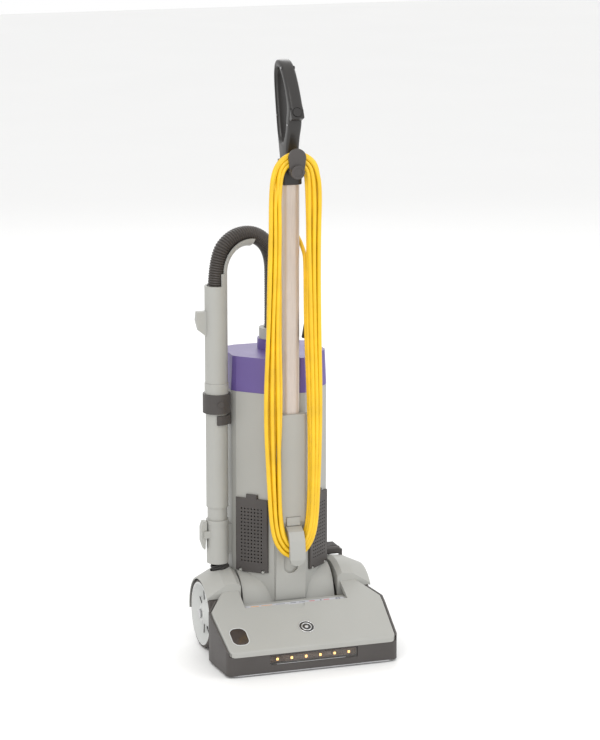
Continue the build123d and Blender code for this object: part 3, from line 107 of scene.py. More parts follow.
# The loop handle seen from the side, as Y and Z: its screws, its outline and the opening for the fingers.
HANDLE_SCREWS = ((-0.034, 1.030), (0.031, 1.040), (0.004, 1.132))
HANDLE_OUTLINE = [
    (-0.0265, 0.915),
    (-0.0265, 0.915),
    (0.0105, 0.915),
    (0.0105, 0.915),
    (0.0125, 0.950),
    (0.025, 0.988),
    (0.038, 1.046),
    (0.049, 1.100),
    (0.0515, 1.130),
    (0.043, 1.144),
    (0.026, 1.147),
    (0.006, 1.140),
    (-0.012, 1.124),
    (-0.032, 1.098),
    (-0.046, 1.074),
    (-0.053, 1.063),
    (-0.053, 1.063),
    (-0.046, 1.043),
    (-0.046, 1.043),
    (-0.044, 1.026),
    (-0.033, 1.003),
    (-0.0265, 0.975),
]
HANDLE_OPENING = [
    (0.003, 0.993),
    (0.018, 1.000),
    (0.030, 1.050),
    (0.041, 1.104),
    (0.040, 1.128),
    (0.026, 1.132),
    (0.012, 1.125),
    (-0.006, 1.107),
    (-0.020, 1.083),
    (-0.028, 1.062),
    (-0.0225, 1.043),
    (-0.022, 1.024),
    (-0.010, 1.000),
]


# ---------------------------------------------------------------- sizes and colours a user may change
def length(name, description, default):
    return FloatProperty(name=name, description=description, default=default, subtype="DISTANCE", unit="LENGTH")


def colour(name, description, default):
    return FloatVectorProperty(
        name=name, description=description, default=default, size=3, min=0.0, max=1.0, subtype="COLOR"
    )


class VacuumSizes(bpy.types.PropertyGroup):
    cord_diameter: length("Cord diameter", "Outside diameter of the power cord's jacket", 0.008)
    cord_length: length("Cord length", "Real length of the power cord from strain relief to plug", 15.24)
    cord_turns: IntProperty(name="Cord turns", description="Loops of cord on the two hooks", default=9, min=2)
    hose_diameter: length("Hose diameter", "Outside diameter over the ribs of the suction hose", 0.033)
    hose_rib_pitch: length("Hose rib pitch", "Distance from one rib of the hose to the next", 0.0046)
    grip_rounding: length("Grip rounding", "Radius along the edges of the handle", 0.0062)


class VacuumColours(bpy.types.PropertyGroup):
    body: colour("Body", "Light grey of the covers, shells and wand", (0.375, 0.375, 0.352))
    dark: colour("Dark trim", "Warm dark grey of the base, doors and collars", (0.062, 0.055, 0.052))
    lid: colour("Lid", "Purple of the lid over the filter bag", (0.125, 0.085, 0.28))
    mast: colour("Mast", "Pale paint of the mast", (0.62, 0.55, 0.50))
    cord: colour("Cord", "Yellow of the power cord's jacket", (0.86, 0.53, 0.006))
    hose: colour("Hose", "Brown black of the suction hose", (0.040, 0.033, 0.029))
    lamp: colour("Lamp", "Warm white of the headlight's diodes", (1.0, 0.62, 0.22))


def sizes():
    return bpy.context.scene.vacuum_sizes


def colours():
    return bpy.context.scene.vacuum_colours


# ---------------------------------------------------------------- modelling helpers
def drop_selection():
    """Object mode with nothing selected."""
    if bpy.context.object and bpy.context.object.mode != "OBJECT":
        bpy.ops.object.mode_set(mode="OBJECT")
    bpy.ops.object.select_all(action="DESELECT")


def hold(*pieces):
    """Select just these pieces, the last of them active."""
    drop_selection()
    for piece in pieces:
        piece.select_set(True)
    bpy.context.view_layer.objects.active = pieces[-1]
    return pieces[-1]


def settle(name):
    """Name the primitive just added and put its place into its mesh."""
    piece = bpy.context.object
    piece.name = piece.data.name = name
    bpy.ops.object.transform_apply(location=True, rotation=True, scale=True)
    return piece


def slab(name, low, high):
    """Box between two corners."""
    drop_selection()
    low, high = Vector(low), Vector(high)
    bpy.ops.mesh.primitive_cube_add(size=1, location=(low + high) / 2)
    bpy.context.object.scale = high - low
    return settle(name)


def rod(name, start, end, radius, end_radius=None, sides=40):
    """Round bar or cone from one point to another."""
    drop_selection()
    start, end = Vector(start), Vector(end)
    bpy.ops.mesh.primitive_cone_add(
        vertices=sides,
        radius1=radius,
        radius2=radius if end_radius is None else end_radius,
        depth=(end - start).length,
        location=(start + end) / 2,
        rotation=(end - start).to_track_quat("Z", "Y").to_euler(),
    )
    return settle(name)


def turned(piece, place, tilt=0.0):
    """Tilt a piece about X, move it to its place and put both into its mesh."""
    hold(piece)
    piece.rotation_euler = (tilt, 0.0, 0.0)
    piece.location = place
    bpy.ops.object.transform_apply(location=True, rotation=True, scale=True)
    return piece


def pad(name, width, depth, corner, low, high, segments=6):
    """Flat plate round the origin with rounded corners, between two heights."""
    plate = slab(name, (-width / 2, -depth / 2, low), (width / 2, depth / 2, high))
    choose(plate, "EDGE", lambda edge: abs((edge.verts[0].co - edge.verts[1].co).z) > (high - low) / 2)
    bpy.ops.mesh.bevel(offset=corner, segments=segments, affect="EDGES")
    leave_edit()
    return plate


def ring(name, radius, thickness, place, tilt=0.0, turn=None):
    """Thin round ring lying flat, then turned into its place."""
    drop_selection()
    bpy.ops.mesh.primitive_torus_add(
        major_radius=radius, minor_radius=thickness, major_segments=56, minor_segments=10
    )
    made = settle(name)
    if turn is not None:
        made.rotation_euler = turn
        bpy.ops.object.transform_apply(location=True, rotation=True, scale=True)
    return turned(made, place, tilt)


def on_cover(x, y, lift=0.0):
    """Point of the head's sloping cover, raised along its normal."""
    height = COVER_FRONT.z + COVER_SLOPE * (y - COVER_FRONT.y)
    return Vector((x, y - lift * math.sin(COVER_TILT), height + lift * math.cos(COVER_TILT)))


def outline_solid(name, outlines, half_width, rounding):
    """Solid with a rounded rim from closed outlines in the YZ plane."""
    curve = bpy.data.curves.new(name, "CURVE")
    curve.dimensions = "2D"
    curve.fill_mode = "BOTH"
    curve.resolution_u = 5
    curve.offset = -rounding
    curve.extrude = half_width - rounding
    curve.bevel_depth = rounding
    curve.bevel_resolution = 3
    for points in outlines:
        spline = curve.splines.new("NURBS")
        spline.points.add(len(points) - 1)
        for place, point in zip(spline.points, points):
            place.co = (*point, 0.0, 1.0)
        spline.order_u = 3
        spline.use_cyclic_u = True
    shape = bpy.data.objects.new(name, curve)
    bpy.context.scene.collection.objects.link(shape)
    hold(shape)
    shape.rotation_euler = (math.pi / 2, 0.0, math.pi / 2)
    bpy.ops.object.convert(target="MESH")
    bpy.ops.object.transform_apply(location=True, rotation=True, scale=True)
    solid = bpy.context.object
    true_normals(solid)
    return solid


def choose(piece, kind, test):
    """Edit mode on the piece with only the elements of that kind selected that pass the test."""
    hold(piece)
    bpy.ops.object.mode_set(mode="EDIT")
    bpy.ops.mesh.select_mode(type=kind)
    bpy.ops.mesh.select_all(action="DESELECT")
    net = bmesh.from_edit_mesh(piece.data)
    for item in {"VERT": net.verts, "EDGE": net.edges, "FACE": net.faces}[kind]:
        if test(item):
            item.select_set(True)
    net.select_flush_mode()
    bmesh.update_edit_mesh(piece.data)


def leave_edit():
    bpy.ops.object.mode_set(mode="OBJECT")


def apply_all(piece):
    """Apply every modifier of the piece, in order."""
    hold(piece)
    for modifier in list(piece.modifiers):
        bpy.ops.object.modifier_apply(modifier=modifier.name)


def round_edges(piece, width, segments=3, angle=40):
    """Round the sharp edges with a bevel and apply it."""
    modifier = piece.modifiers.new("rounding", "BEVEL")
    modifier.width = width
    modifier.segments = segments
    modifier.limit_method = "ANGLE"
    modifier.angle_limit = math.radians(angle)
    apply_all(piece)


def cut(piece, *tools):
    """Cut the tools out of the piece and remove them."""
    for tool in tools:
        modifier = piece.modifiers.new("cut", "BOOLEAN")
        modifier.operation = "DIFFERENCE"
        modifier.solver = "EXACT"
        modifier.object = tool
        apply_all(piece)
        bpy.data.objects.remove(tool)


def weld(name, *pieces):
    """Join pieces into one object."""
    piece = hold(*pieces)
    if len(pieces) > 1:
        bpy.ops.object.join()
    piece.name = piece.data.name = name
    return piece


def true_normals(piece):
    """Merge doubles and turn every face outwards."""
    choose(piece, "VERT", lambda vertex: True)
    bpy.ops.mesh.remove_doubles(threshold=0.00001)
    bpy.ops.mesh.normals_make_consistent(inside=False)
    leave_edit()


def hand_over(piece, body, slot, stands_for=(), smooth=40):
    """Shade the finished piece, paint it and let it ride on its body."""
    hold(piece)
    bpy.ops.object.shade_smooth_by_angle(angle=math.radians(smooth))
    piece.data.materials.clear()
    piece.data.materials.append(finish(slot))
    if body:
        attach(piece, body)
    if stands_for:
        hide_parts(*stands_for)
    return piece


def route_curve(name, points, resolution):
    """Open NURBS line through a given route."""
    curve = bpy.data.curves.new(name, "CURVE")
    curve.dimensions = "3D"
    curve.resolution_u = resolution
    spline = curve.splines.new("NURBS")
    spline.points.add(len(points) - 1)
    for place, point in zip(spline.points, points):
        place.co = (*point, 1.0)
    spline.order_u = 3
    spline.use_endpoint_u = True
    line = bpy.data.objects.new(name, curve)
    bpy.context.scene.collection.objects.link(line)
    return line


def line_points(line):
    """Points along the bare line of a curve."""
    mesh = bpy.data.meshes.new_from_object(line)
    points = [vertex.co.copy() for vertex in mesh.vertices]
    bpy.data.meshes.remove(mesh)
    return points


def run_length(points):
    return sum((b - a).length for a, b in zip(points, points[1:]))


# ---------------------------------------------------------------- shader groups
def new_group(name, inputs, outputs):
    """Empty shader group with named float or colour sockets."""
    group = bpy.data.node_groups.new(name, "ShaderNodeTree")
    for label, kind, value in inputs:
        socket = group.interface.new_socket(name=label, in_out="INPUT", socket_type=kind)
        if value is not None:
            socket.default_value = value
    for label, kind in outputs:
        group.interface.new_socket(name=label, in_out="OUTPUT", socket_type=kind)
    return group, group.nodes.new("NodeGroupInput"), group.nodes.new("NodeGroupOutput")


def moulding_group():
    """Fine grain of moulded plastic over slow drifts of tone."""
    if "Moulded grain" in bpy.data.node_groups:
        return bpy.data.node_groups["Moulded grain"]
    inputs = [
        ("Vector", "NodeSocketVector", None),
        ("Grain scale", "NodeSocketFloat", 900.0),
        ("Drift scale", "NodeSocketFloat", 9.0),
    ]
    group, source, result = new_group(
        "Moulded grain", inputs, [("Height", "NodeSocketFloat"), ("Tone", "NodeSocketFloat")]
    )
    links = group.links
    grain = group.nodes.new("ShaderNodeTexNoise")
    grain.inputs["Detail"].default_value = 3.0
    drift = group.nodes.new("ShaderNodeTexNoise")
    drift.inputs["Detail"].default_value = 4.0
    links.new(source.outputs["Vector"], grain.inputs["Vector"])
    links.new(source.outputs["Grain scale"], grain.inputs["Scale"])
    links.new(source.outputs["Vector"], drift.inputs["Vector"])
    links.new(source.outputs["Drift scale"], drift.inputs["Scale"])
    blend = group.nodes.new("ShaderNodeMath")
    blend.operation = "MULTIPLY_ADD"
    blend.inputs[1].default_value = 0.35
    links.new(grain.outputs["Fac"], blend.inputs[0])
    links.new(drift.outputs["Fac"], blend.inputs[2])
    links.new(grain.outputs["Fac"], result.inputs["Height"])
    links.new(blend.outputs[0], result.inputs["Tone"])
    return group


def dust_group():
    """Mask of dust that settles on faces that look up, broken into patches."""
    if "Settled dust" in bpy.data.node_groups:
        return bpy.data.node_groups["Settled dust"]
    group, source, result = new_group(
        "Settled dust",
        [("Vector", "NodeSocketVector", None), ("Amount", "NodeSocketFloat", 0.2)],
        [("Mask", "NodeSocketFloat")],
    )
    links = group.links
    geometry = group.nodes.new("ShaderNodeNewGeometry")
    split = group.nodes.new("ShaderNodeSeparateXYZ")
    links.new(geometry.outputs["Normal"], split.inputs[0])
    up = group.nodes.new("ShaderNodeMapRange")
    up.inputs["From Min"].default_value = 0.35
    up.inputs["From Max"].default_value = 1.0
    links.new(split.outputs["Z"], up.inputs["Value"])
    patches = group.nodes.new("ShaderNodeTexNoise")
    patches.inputs["Scale"].default_value = 38.0
    patches.inputs["Detail"].default_value = 6.0
    links.new(source.outputs["Vector"], patches.inputs["Vector"])
    product = group.nodes.new("ShaderNodeMath")
    product.operation = "MULTIPLY"
    links.new(up.outputs["Result"], product.inputs[0])
    links.new(patches.outputs["Fac"], product.inputs[1])
    scaled = group.nodes.new("ShaderNodeMath")
    scaled.operation = "MULTIPLY"
    links.new(product.outputs[0], scaled.inputs[0])
    links.new(source.outputs["Amount"], scaled.inputs[1])
    links.new(scaled.outputs[0], result.inputs["Mask"])
    return group


def wear_group():
    """Mask of rubbed edges, from how far a rounded normal leans off the face's own."""
    if "Rubbed edges" in bpy.data.node_groups:
        return bpy.data.node_groups["Rubbed edges"]
    group, source, result = new_group(
        "Rubbed edges",
        [("Vector", "NodeSocketVector", None), ("Radius", "NodeSocketFloat", 0.0012)],
        [("Mask", "NodeSocketFloat")],
    )
    links = group.links
    rounded = group.nodes.new("ShaderNodeBevel")
    rounded.samples = 3
    links.new(source.outputs["Radius"], rounded.inputs["Radius"])
    geometry = group.nodes.new("ShaderNodeNewGeometry")
    agree = group.nodes.new("ShaderNodeVectorMath")
    agree.operation = "DOT_PRODUCT"
    links.new(rounded.outputs["Normal"], agree.inputs[0])
    links.new(geometry.outputs["Normal"], agree.inputs[1])
    edge = group.nodes.new("ShaderNodeMapRange")
    edge.inputs["From Min"].default_value = 0.97
    edge.inputs["From Max"].default_value = 0.75
    links.new(agree.outputs["Value"], edge.inputs["Value"])
    breakup = group.nodes.new("ShaderNodeTexNoise")
    breakup.inputs["Scale"].default_value = 120.0
    breakup.inputs["Detail"].default_value = 5.0
    links.new(source.outputs["Vector"], breakup.inputs["Vector"])
    product = group.nodes.new("ShaderNodeMath")
    product.operation = "MULTIPLY"
    links.new(edge.outputs["Result"], product.inputs[0])
    links.new(breakup.outputs["Fac"], product.inputs[1])
    links.new(product.outputs[0], result.inputs["Mask"])
    return group


# ---------------------------------------------------------------- finishes
class Finish:
    """A material being wired: its shader, its Object coordinates and the helpers that add layers."""

    def __init__(self, name, base, rough, metallic=0.0):
        self.material = bpy.data.materials.new(name)
        self.material.use_nodes = True
        self.tree = self.material.node_tree
        self.shader = self.tree.nodes["Principled BSDF"]
        self.shader.inputs["Metallic"].default_value = metallic
        self.base = base
        self.rough = rough
        self.coordinates = self.tree.nodes.new("ShaderNodeTexCoord").outputs["Object"]
        self.colour_out = None

    def node(self, kind, **values):
        made = self.tree.nodes.new(kind)
        for key, value in values.items():
            made.inputs[key.replace("_", " ")].default_value = value
        return made

    def group(self, tree, **values):
        made = self.tree.nodes.new("ShaderNodeGroup")
        made.node_tree = tree
        for key, value in values.items():
            made.inputs[key.replace("_", " ")].default_value = value
        self.tree.links.new(self.coordinates, made.inputs["Vector"])
        return made

    def layer(self, mask, colour_value):
        """Lay a colour over what is there wherever the mask is high."""
        mix = self.tree.nodes.new("ShaderNodeMix")
        mix.data_type = "RGBA"
        if self.colour_out is None:
            mix.inputs["A"].default_value = (*self.base, 1.0)
        else:
            self.tree.links.new(self.colour_out, mix.inputs["A"])
        mix.inputs["B"].default_value = (*colour_value, 1.0)
        self.tree.links.new(mask, mix.inputs["Factor"])
        self.colour_out = mix.outputs["Result"]

    def spread(self, value, low, high, to_low, to_high):
        """Map a value from one span to another."""
        ramp = self.node("ShaderNodeMapRange", From_Min=low, From_Max=high, To_Min=to_low, To_Max=to_high)
        self.tree.links.new(value, ramp.inputs["Value"])
        return ramp.outputs["Result"]

    def roughness(self, value, low, high):
        """Let the roughness follow a value between 0.3 and 0.7."""
        self.tree.links.new(self.spread(value, 0.3, 0.7, low, high), self.shader.inputs["Roughness"])

    def bump(self, height, depth, strength=1.0):
        """Raise the surface by a height map of that depth in metres."""
        bump = self.node("ShaderNodeBump", Distance=depth, Strength=strength)
        self.tree.links.new(height, bump.inputs["Height"])
        self.tree.links.new(bump.outputs["Normal"], self.shader.inputs["Normal"])
        return bump

    def done(self):
        if self.colour_out is not None:
            self.tree.links.new(self.colour_out, self.shader.inputs["Base Color"])
        return self.material


def shade(value, factor):
    """A colour made darker or lighter, kept within range."""
    return tuple(min(1.0, channel * factor) for channel in value)


def moulded(name, base, rough, grain=900.0, depth=0.00005, dust=0.12, worn=1.35, drift=0.88):
    """Moulded plastic: fine grain, drifts of tone, rubbed edges and a little dust."""
    made = Finish(name, base, rough)
    grain_node = made.group(moulding_group(), Grain_scale=grain)
    made.layer(made.spread(grain_node.outputs["Tone"], 0.45, 0.95, 0.0, 1.0), shade(base, drift))
    rubbed = made.group(wear_group())
    made.layer(made.spread(rubbed.outputs["Mask"], 0.1, 0.8, 0.0, 0.5), shade(base, worn))
    dusty = made.group(dust_group(), Amount=dust)
    made.layer(dusty.outputs["Mask"], (0.42, 0.40, 0.37))
    made.roughness(grain_node.outputs["Tone"], rough - 0.06, rough + 0.08)
    made.bump(grain_node.outputs["Height"], depth, 0.6)
    return made.done()


def brushed(name, base, rough, scale=(40.0, 900.0, 900.0), metallic=1.0, depth=0.00003):
    """Metal with fine lines along one axis and slow stains."""
    made = Finish(name, base, rough, metallic)
    mapping = made.node("ShaderNodeMapping", Scale=scale)
    made.tree.links.new(made.coordinates, mapping.inputs["Vector"])
    lines = made.node("ShaderNodeTexNoise", Scale=1.0, Detail=2.0)
    made.tree.links.new(mapping.outputs["Vector"], lines.inputs["Vector"])
    grain_node = made.group(moulding_group(), Drift_scale=14.0)
    made.layer(made.spread(lines.outputs["Fac"], 0.3, 0.7, 0.0, 0.5), shade(base, 0.8))
    made.layer(made.spread(grain_node.outputs["Tone"], 0.5, 0.9, 0.0, 0.4), shade(base, 0.7))
    made.roughness(lines.outputs["Fac"], rough - 0.07, rough + 0.1)
    made.bump(lines.outputs["Fac"], depth, 0.5)
    return made.done()


def clear(name, base, rough, haze):
    """Clear moulding with a slight haze."""
    made = Finish(name, base, rough)
    made.shader.inputs["Transmission Weight"].default_value = 1.0
    made.shader.inputs["IOR"].default_value = 1.46
    grain_node = made.group(moulding_group(), Grain_scale=240.0)
    made.layer(made.spread(grain_node.outputs["Tone"], 0.4, 1.0, 0.0, haze), shade(base, 0.8))
    made.roughness(grain_node.outputs["Tone"], rough, rough + 0.08)
    return made.done()


def pleated(name, base, pitch, depth):
    """Paper with close folds and painted shade in their valleys."""
    made = Finish(name, base, 0.85)
    mapping = made.node("ShaderNodeMapping", Scale=(1.0 / pitch, 1.0 / pitch, 0.0))
    made.tree.links.new(made.coordinates, mapping.inputs["Vector"])
    folds = made.node("ShaderNodeTexWave", Scale=1.0, Distortion=0.4)
    made.tree.links.new(mapping.outputs["Vector"], folds.inputs["Vector"])
    fibres = made.group(moulding_group(), Grain_scale=1500.0, Drift_scale=30.0)
    # Painted shade: the paper is made darker where the fold wave is low, in the valleys.
    made.layer(made.spread(folds.outputs["Fac"], 0.0, 1.0, 0.6, 0.0), shade(base, 0.65))
    made.layer(made.spread(fibres.outputs["Tone"], 0.5, 0.9, 0.0, 0.4), shade(base, 0.8))
    made.roughness(fibres.outputs["Tone"], 0.8, 0.95)
    made.bump(folds.outputs["Fac"], depth)
    return made.done()


def jacket(name, base):
    """Soft glossy jacket of the cord, with painted shade in darker patches here and there."""
    made = Finish(name, base, 0.38)
    made.shader.inputs["Coat Weight"].default_value = 0.25
    made.shader.inputs["Coat Roughness"].default_value = 0.25
    grain_node = made.group(moulding_group(), Grain_scale=700.0, Drift_scale=24.0)
    # Painted shade: this darker noise tone and the yellow-brown patches below paint slight shading into the
    # jacket's yellow.
    made.layer(made.spread(grain_node.outputs["Tone"], 0.45, 0.95, 0.0, 0.75), shade(base, 0.72))
    shade_patches = made.node("ShaderNodeTexNoise", Scale=160.0, Detail=8.0)
    made.tree.links.new(made.coordinates, shade_patches.inputs["Vector"])
    made.layer(made.spread(shade_patches.outputs["Fac"], 0.62, 0.8, 0.0, 0.35), (0.35, 0.24, 0.03))
    made.roughness(grain_node.outputs["Tone"], 0.32, 0.5)
    made.bump(grain_node.outputs["Height"], 0.00004, 0.5)
    return made.done()


def diode_board(name, base):
    """White circuit board with a faint weave and solder specks."""
    made = Finish(name, base, 0.45)
    cells = made.node("ShaderNodeTexVoronoi", Scale=420.0)
    made.tree.links.new(made.coordinates, cells.inputs["Vector"])
    made.layer(made.spread(cells.outputs["Distance"], 0.0, 0.28, 1.0, 0.0), (0.45, 0.45, 0.44))
    grain_node = made.group(moulding_group())
    made.layer(made.spread(grain_node.outputs["Tone"], 0.5, 0.9, 0.0, 0.4), shade(base, 0.8))
    made.roughness(grain_node.outputs["Tone"], 0.35, 0.5)
    made.bump(cells.outputs["Distance"], 0.00005)
    return made.done()


def lamp(name, base):
    """Lit diode: warm glow, stronger in the middle of its grain."""
    made = Finish(name, base, 0.4)
    grain_node = made.group(moulding_group(), Grain_scale=500.0)
    made.layer(made.spread(grain_node.outputs["Tone"], 0.4, 1.0, 0.0, 0.5), shade(base, 0.8))
    made.tree.links.new(made.colour_out, made.shader.inputs["Emission Color"])
    made.shader.inputs["Emission Strength"].default_value = 2.2
    made.roughness(grain_node.outputs["Tone"], 0.35, 0.5)
    return made.done()


def finish(slot):
    """The material of a slot, made the first time it is asked for."""
    if slot in bpy.data.materials and bpy.data.materials[slot].get("vacuum_finish"):
        return bpy.data.materials[slot]
    for old in [item for item in bpy.data.materials if item.name == slot]:
        old.name = slot + ".plain"
    tint = colours()
    makers = {
        "body_gray": lambda: moulded(slot, tint.body, 0.44, 1100.0, 0.00004, 0.10, 1.18, 0.93),
        "dark_gray": lambda: moulded(slot, tint.dark, 0.46, 800.0, 0.00009, 0.16, 2.2, 0.78),
        "black_gloss": lambda: moulded(slot, (0.022, 0.020, 0.019), 0.26, 500.0, 0.00002, 0.08, 2.6, 0.7),
        "purple": lambda: moulded(slot, tint.lid, 0.36, 1000.0, 0.00003, 0.08, 1.5, 0.86),
        "mast_metal": lambda: brushed(slot, tint.mast, 0.42, (900.0, 900.0, 30.0), 0.35, 0.00002),
        "steel": lambda: brushed(slot, (0.56, 0.56, 0.57), 0.3),
        "rubber": lambda: moulded(slot, (0.030, 0.028, 0.027), 0.68, 600.0, 0.00012, 0.22, 1.9, 0.7),
        "tyre": lambda: moulded(slot, (0.085, 0.075, 0.070), 0.74, 420.0, 0.00018, 0.28, 1.7, 0.72),
        "wheel_gray": lambda: moulded(slot, (0.56, 0.57, 0.56), 0.46, 900.0, 0.00005, 0.12, 1.2, 0.9),
        "hose_black": lambda: moulded(slot, tint.hose, 0.4, 700.0, 0.00006, 0.20, 2.4, 0.75),
        "cord_yellow": lambda: jacket(slot, tint.cord),
        "lens": lambda: clear(slot, (0.94, 0.93, 0.90), 0.04, 0.4),
        "smoke_window": lambda: moulded(slot, (0.050, 0.036, 0.030), 0.12, 300.0, 0.00001, 0.05, 2.0, 0.5),
        "circuit": lambda: diode_board(slot, (0.80, 0.78, 0.72)),
        "bristle": lambda: brushed(slot, (0.035, 0.035, 0.045), 0.5, (900.0, 60.0, 60.0), 0.0, 0.0002),
        "copper": lambda: brushed(slot, (0.62, 0.31, 0.17), 0.34, (900.0, 900.0, 60.0), 1.0, 0.0001),
        "filter_paper": lambda: pleated(slot, (0.84, 0.83, 0.79), 0.004, 0.0012),
        "bag_paper": lambda: pleated(slot, (0.76, 0.72, 0.64), 0.045, 0.002),
        "belt_rubber": lambda: brushed(slot, (0.025, 0.025, 0.025), 0.7, (500.0, 500.0, 500.0), 0.0, 0.0002),
        "label": lambda: moulded(slot, (0.55, 0.56, 0.60), 0.3, 300.0, 0.00001, 0.05, 1.1, 0.9),
        "label_orange": lambda: moulded(slot, (0.85, 0.36, 0.03), 0.3, 300.0, 0.00001, 0.05, 1.1, 0.85),
        "label_red": lambda: moulded(slot, (0.70, 0.06, 0.05), 0.3, 300.0, 0.00001, 0.05, 1.1, 0.85),
        "label_ink": lambda: moulded(slot, (0.10, 0.11, 0.14), 0.3, 300.0, 0.00001, 0.05, 1.4, 0.8),
        "board_brown": lambda: moulded(slot, (0.16, 0.115, 0.095), 0.35, 300.0, 0.00001, 0.05, 1.3, 0.8),
        "badge_silver": lambda: brushed(slot, (0.72, 0.72, 0.72), 0.28, (60.0, 60.0, 60.0), 0.8, 0.00001),
        "lamp": lambda: lamp(slot, tint.lamp),
    }
    made = makers[slot]()
    made["vacuum_finish"] = True
    return made


# ---------------------------------------------------------------- operators
class VACUUM_OT_finish_frame(bpy.types.Operator):
    """Give every node of the frame the finish that its slot asks for"""

    bl_idname = "vacuum.finish_frame"
    bl_label = "Finish the frame"

    def execute(self, context):
        for part in frame["record"]["subparts"]:
            node = NODES[part["node"]]
            node.data.materials.clear()
            node.data.materials.append(finish(part["material_slot"]))
        return {"FINISHED"}


def hank_levels(turn):
    """How far back from the front a turn lies, in three layers."""
    return (-0.0325, -0.039, -0.0455)[turn % 3]


def between(low, high, share):
    return low + (high - low) * share


def hank_route(turns):
    """Turns of cord round the two hooks, each a little further out than the one before."""
    stations = (0.330, 0.480, 0.640, 0.800, 0.905)
    left_in = (-0.030, -0.027, -0.028, -0.028, -0.028)
    left_out = (-0.058, -0.063, -0.058, -0.053, -0.051)
    right_in = (0.032, 0.030, 0.023, 0.021, 0.022)
    right_out = (0.049, 0.050, 0.050, 0.051, 0.049)
    points = []

    def side(turn, inner, outer, order, highest=1.0):
        share = turn / turns
        for i in order:
            if stations[i] > highest:
                continue
            wave = 0.09 * math.sin(2.3 * turn + 1.9 * i)
            x = between(inner[i], outer[i], min(1.0, max(0.0, share + wave)))
            y = hank_levels(turn) + 0.0022 * math.sin(1.7 * turn + 2.6 * i)
            points.append((x, y, stations[i] + 0.012 * math.sin(1.1 * turn)))

    def arc(turn, start_x, end_x, start_z, peak_z):
        level = hank_levels(turn)
        for step in range(1, 6):
            angle = math.pi * step / 6
            middle, half = (start_x + end_x) / 2, (start_x - end_x) / 2
            x = middle + half * math.cos(angle)
            points.append((x, level, start_z + (peak_z - start_z) * math.sin(angle)))

    for turn in range(turns):
        share = turn / turns
        side(turn, right_in, right_out, (4, 3, 2, 1, 0), 0.70 if turn == 0 else 1.0)
        bottom = between(0.215, 0.189, share)
        arc(
            turn,
            between(right_in[0], right_out[0], share),
            between(left_in[0], left_out[0], share),
            0.290,
            bottom,
        )
        side(turn, left_in, left_out, (0, 1, 2, 3, 4))
        arc(
            turn + 1 if turn + 1 < turns else turn,
            between(left_in[4], left_out[4], share),
            between(right_in[4], right_out[4], (turn + 1) / turns),
            0.925,
            between(0.959, 0.982, share),
        )
    points.append((0.049, -0.034, 0.900))
    points.append((0.046, -0.031, 0.850))
    points.append((0.041, -0.0305, 0.790))
    return points


class VACUUM_OT_power_cord(bpy.types.Operator):
    """Lay the power cord from its strain relief, round both hooks and on to its plug"""

    bl_idname = "vacuum.power_cord"
    bl_label = "Power cord"

    def execute(self, context):
        route = LEAD_ROUTE + hank_route(sizes().cord_turns) + TAIL_ROUTE
        cord = route_curve("power_cord", route, 7)
        print("cord line", round(run_length(line_points(cord)), 3))
        cord.data.bevel_depth = sizes().cord_diameter / 2
        cord.data.bevel_resolution = 3
        cord.data.use_fill_caps = True
        cord.data.materials.append(finish("cord_yellow"))
        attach(cord, "upright")
        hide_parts("cord_lead", "cord_hank", "cord_tail")
        return {"FINISHED"}


class VACUUM_OT_mains_plug(bpy.types.Operator):
    """Model the moulded plug with its collar of grip ribs, two blades and earth pin"""

    bl_idname = "vacuum.mains_plug"
    bl_label = "Mains plug"

    def execute(self, context):
        x, y, top = TAIL_ROUTE[-1]
        neck = rod("mains_plug", (x, y, top), (x, y, top - 0.026), 0.0055, 0.0085, 32)
        body = rod("body", (x, y, top - 0.024), (x, y, top - 0.048), 0.0105, 0.0145, 32)
        choose(body, "FACE", lambda face: abs(face.normal.z) < 0.5)
        bpy.ops.mesh.subdivide(number_cuts=2)
        leave_edit()
        face_plate = rod("face_plate", (x, y, top - 0.0475), (x, y, top - 0.0505), 0.0148, None, 32)
        ribs = []
        for i in range(5):
            z = top - 0.004 - 0.0042 * i
            ribs.append(rod("rib", (x, y, z), (x, y, z - 0.0018), 0.0066 + 0.0005 * i, None, 32))
        for piece in (neck, body, face_plate, *ribs):
            round_edges(piece, 0.0006, 2)
        plug = weld("mains_plug", body, face_plate, *ribs, neck)
        hand_over(plug, "upright", "black_gloss", ["plug"])
        blades = []
        for side in (-1, 1):
            low = (x + side * 0.0065 - 0.0008, y - 0.0032, top - 0.068)
            high = (x + side * 0.0065 + 0.0008, y + 0.0032, top - 0.049)
            blades.append(slab("blade", low, high))
            round_edges(blades[-1], 0.0004, 2)
        blades.append(rod("pin", (x, y - 0.009, top - 0.049), (x, y - 0.009, top - 0.0695), 0.0024, 0.0019, 24))
        pins = weld("plug_pins", *blades)
        hand_over(pins, "upright", "copper")
        return {"FINISHED"}


class VACUUM_OT_strain_relief(bpy.types.Operator):
    """Model the ribbed rubber sleeve where the cord leaves the handle"""

    bl_idname = "vacuum.strain_relief"
    bl_label = "Strain relief"

    def execute(self, context):
        x, y, end = LEAD_ROUTE[0]
        low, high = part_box("strain_relief")
        block = slab("strain_sleeve", (low.x, low.y, 0.930), (high.x, high.y, high.z))
        round_edges(block, 0.0025, 3)
        core = rod("core", (x, y, 0.932), (x, y, end), 0.0064, 0.0050, 32)
        rings = [
            rod("ring", (x, y, z), (x, y, z - 0.0026), 0.0074 - 0.0003 * i, None, 32)
            for i, z in enumerate((0.928, 0.9235, 0.919, 0.9145, 0.910, 0.9055))
        ]
        for ring in rings:
            round_edges(ring, 0.0007, 2)
        sleeve = weld("strain_sleeve", core, *rings, block)
        hand_over(sleeve, "upright", "rubber", ["strain_relief"])
        return {"FINISHED"}


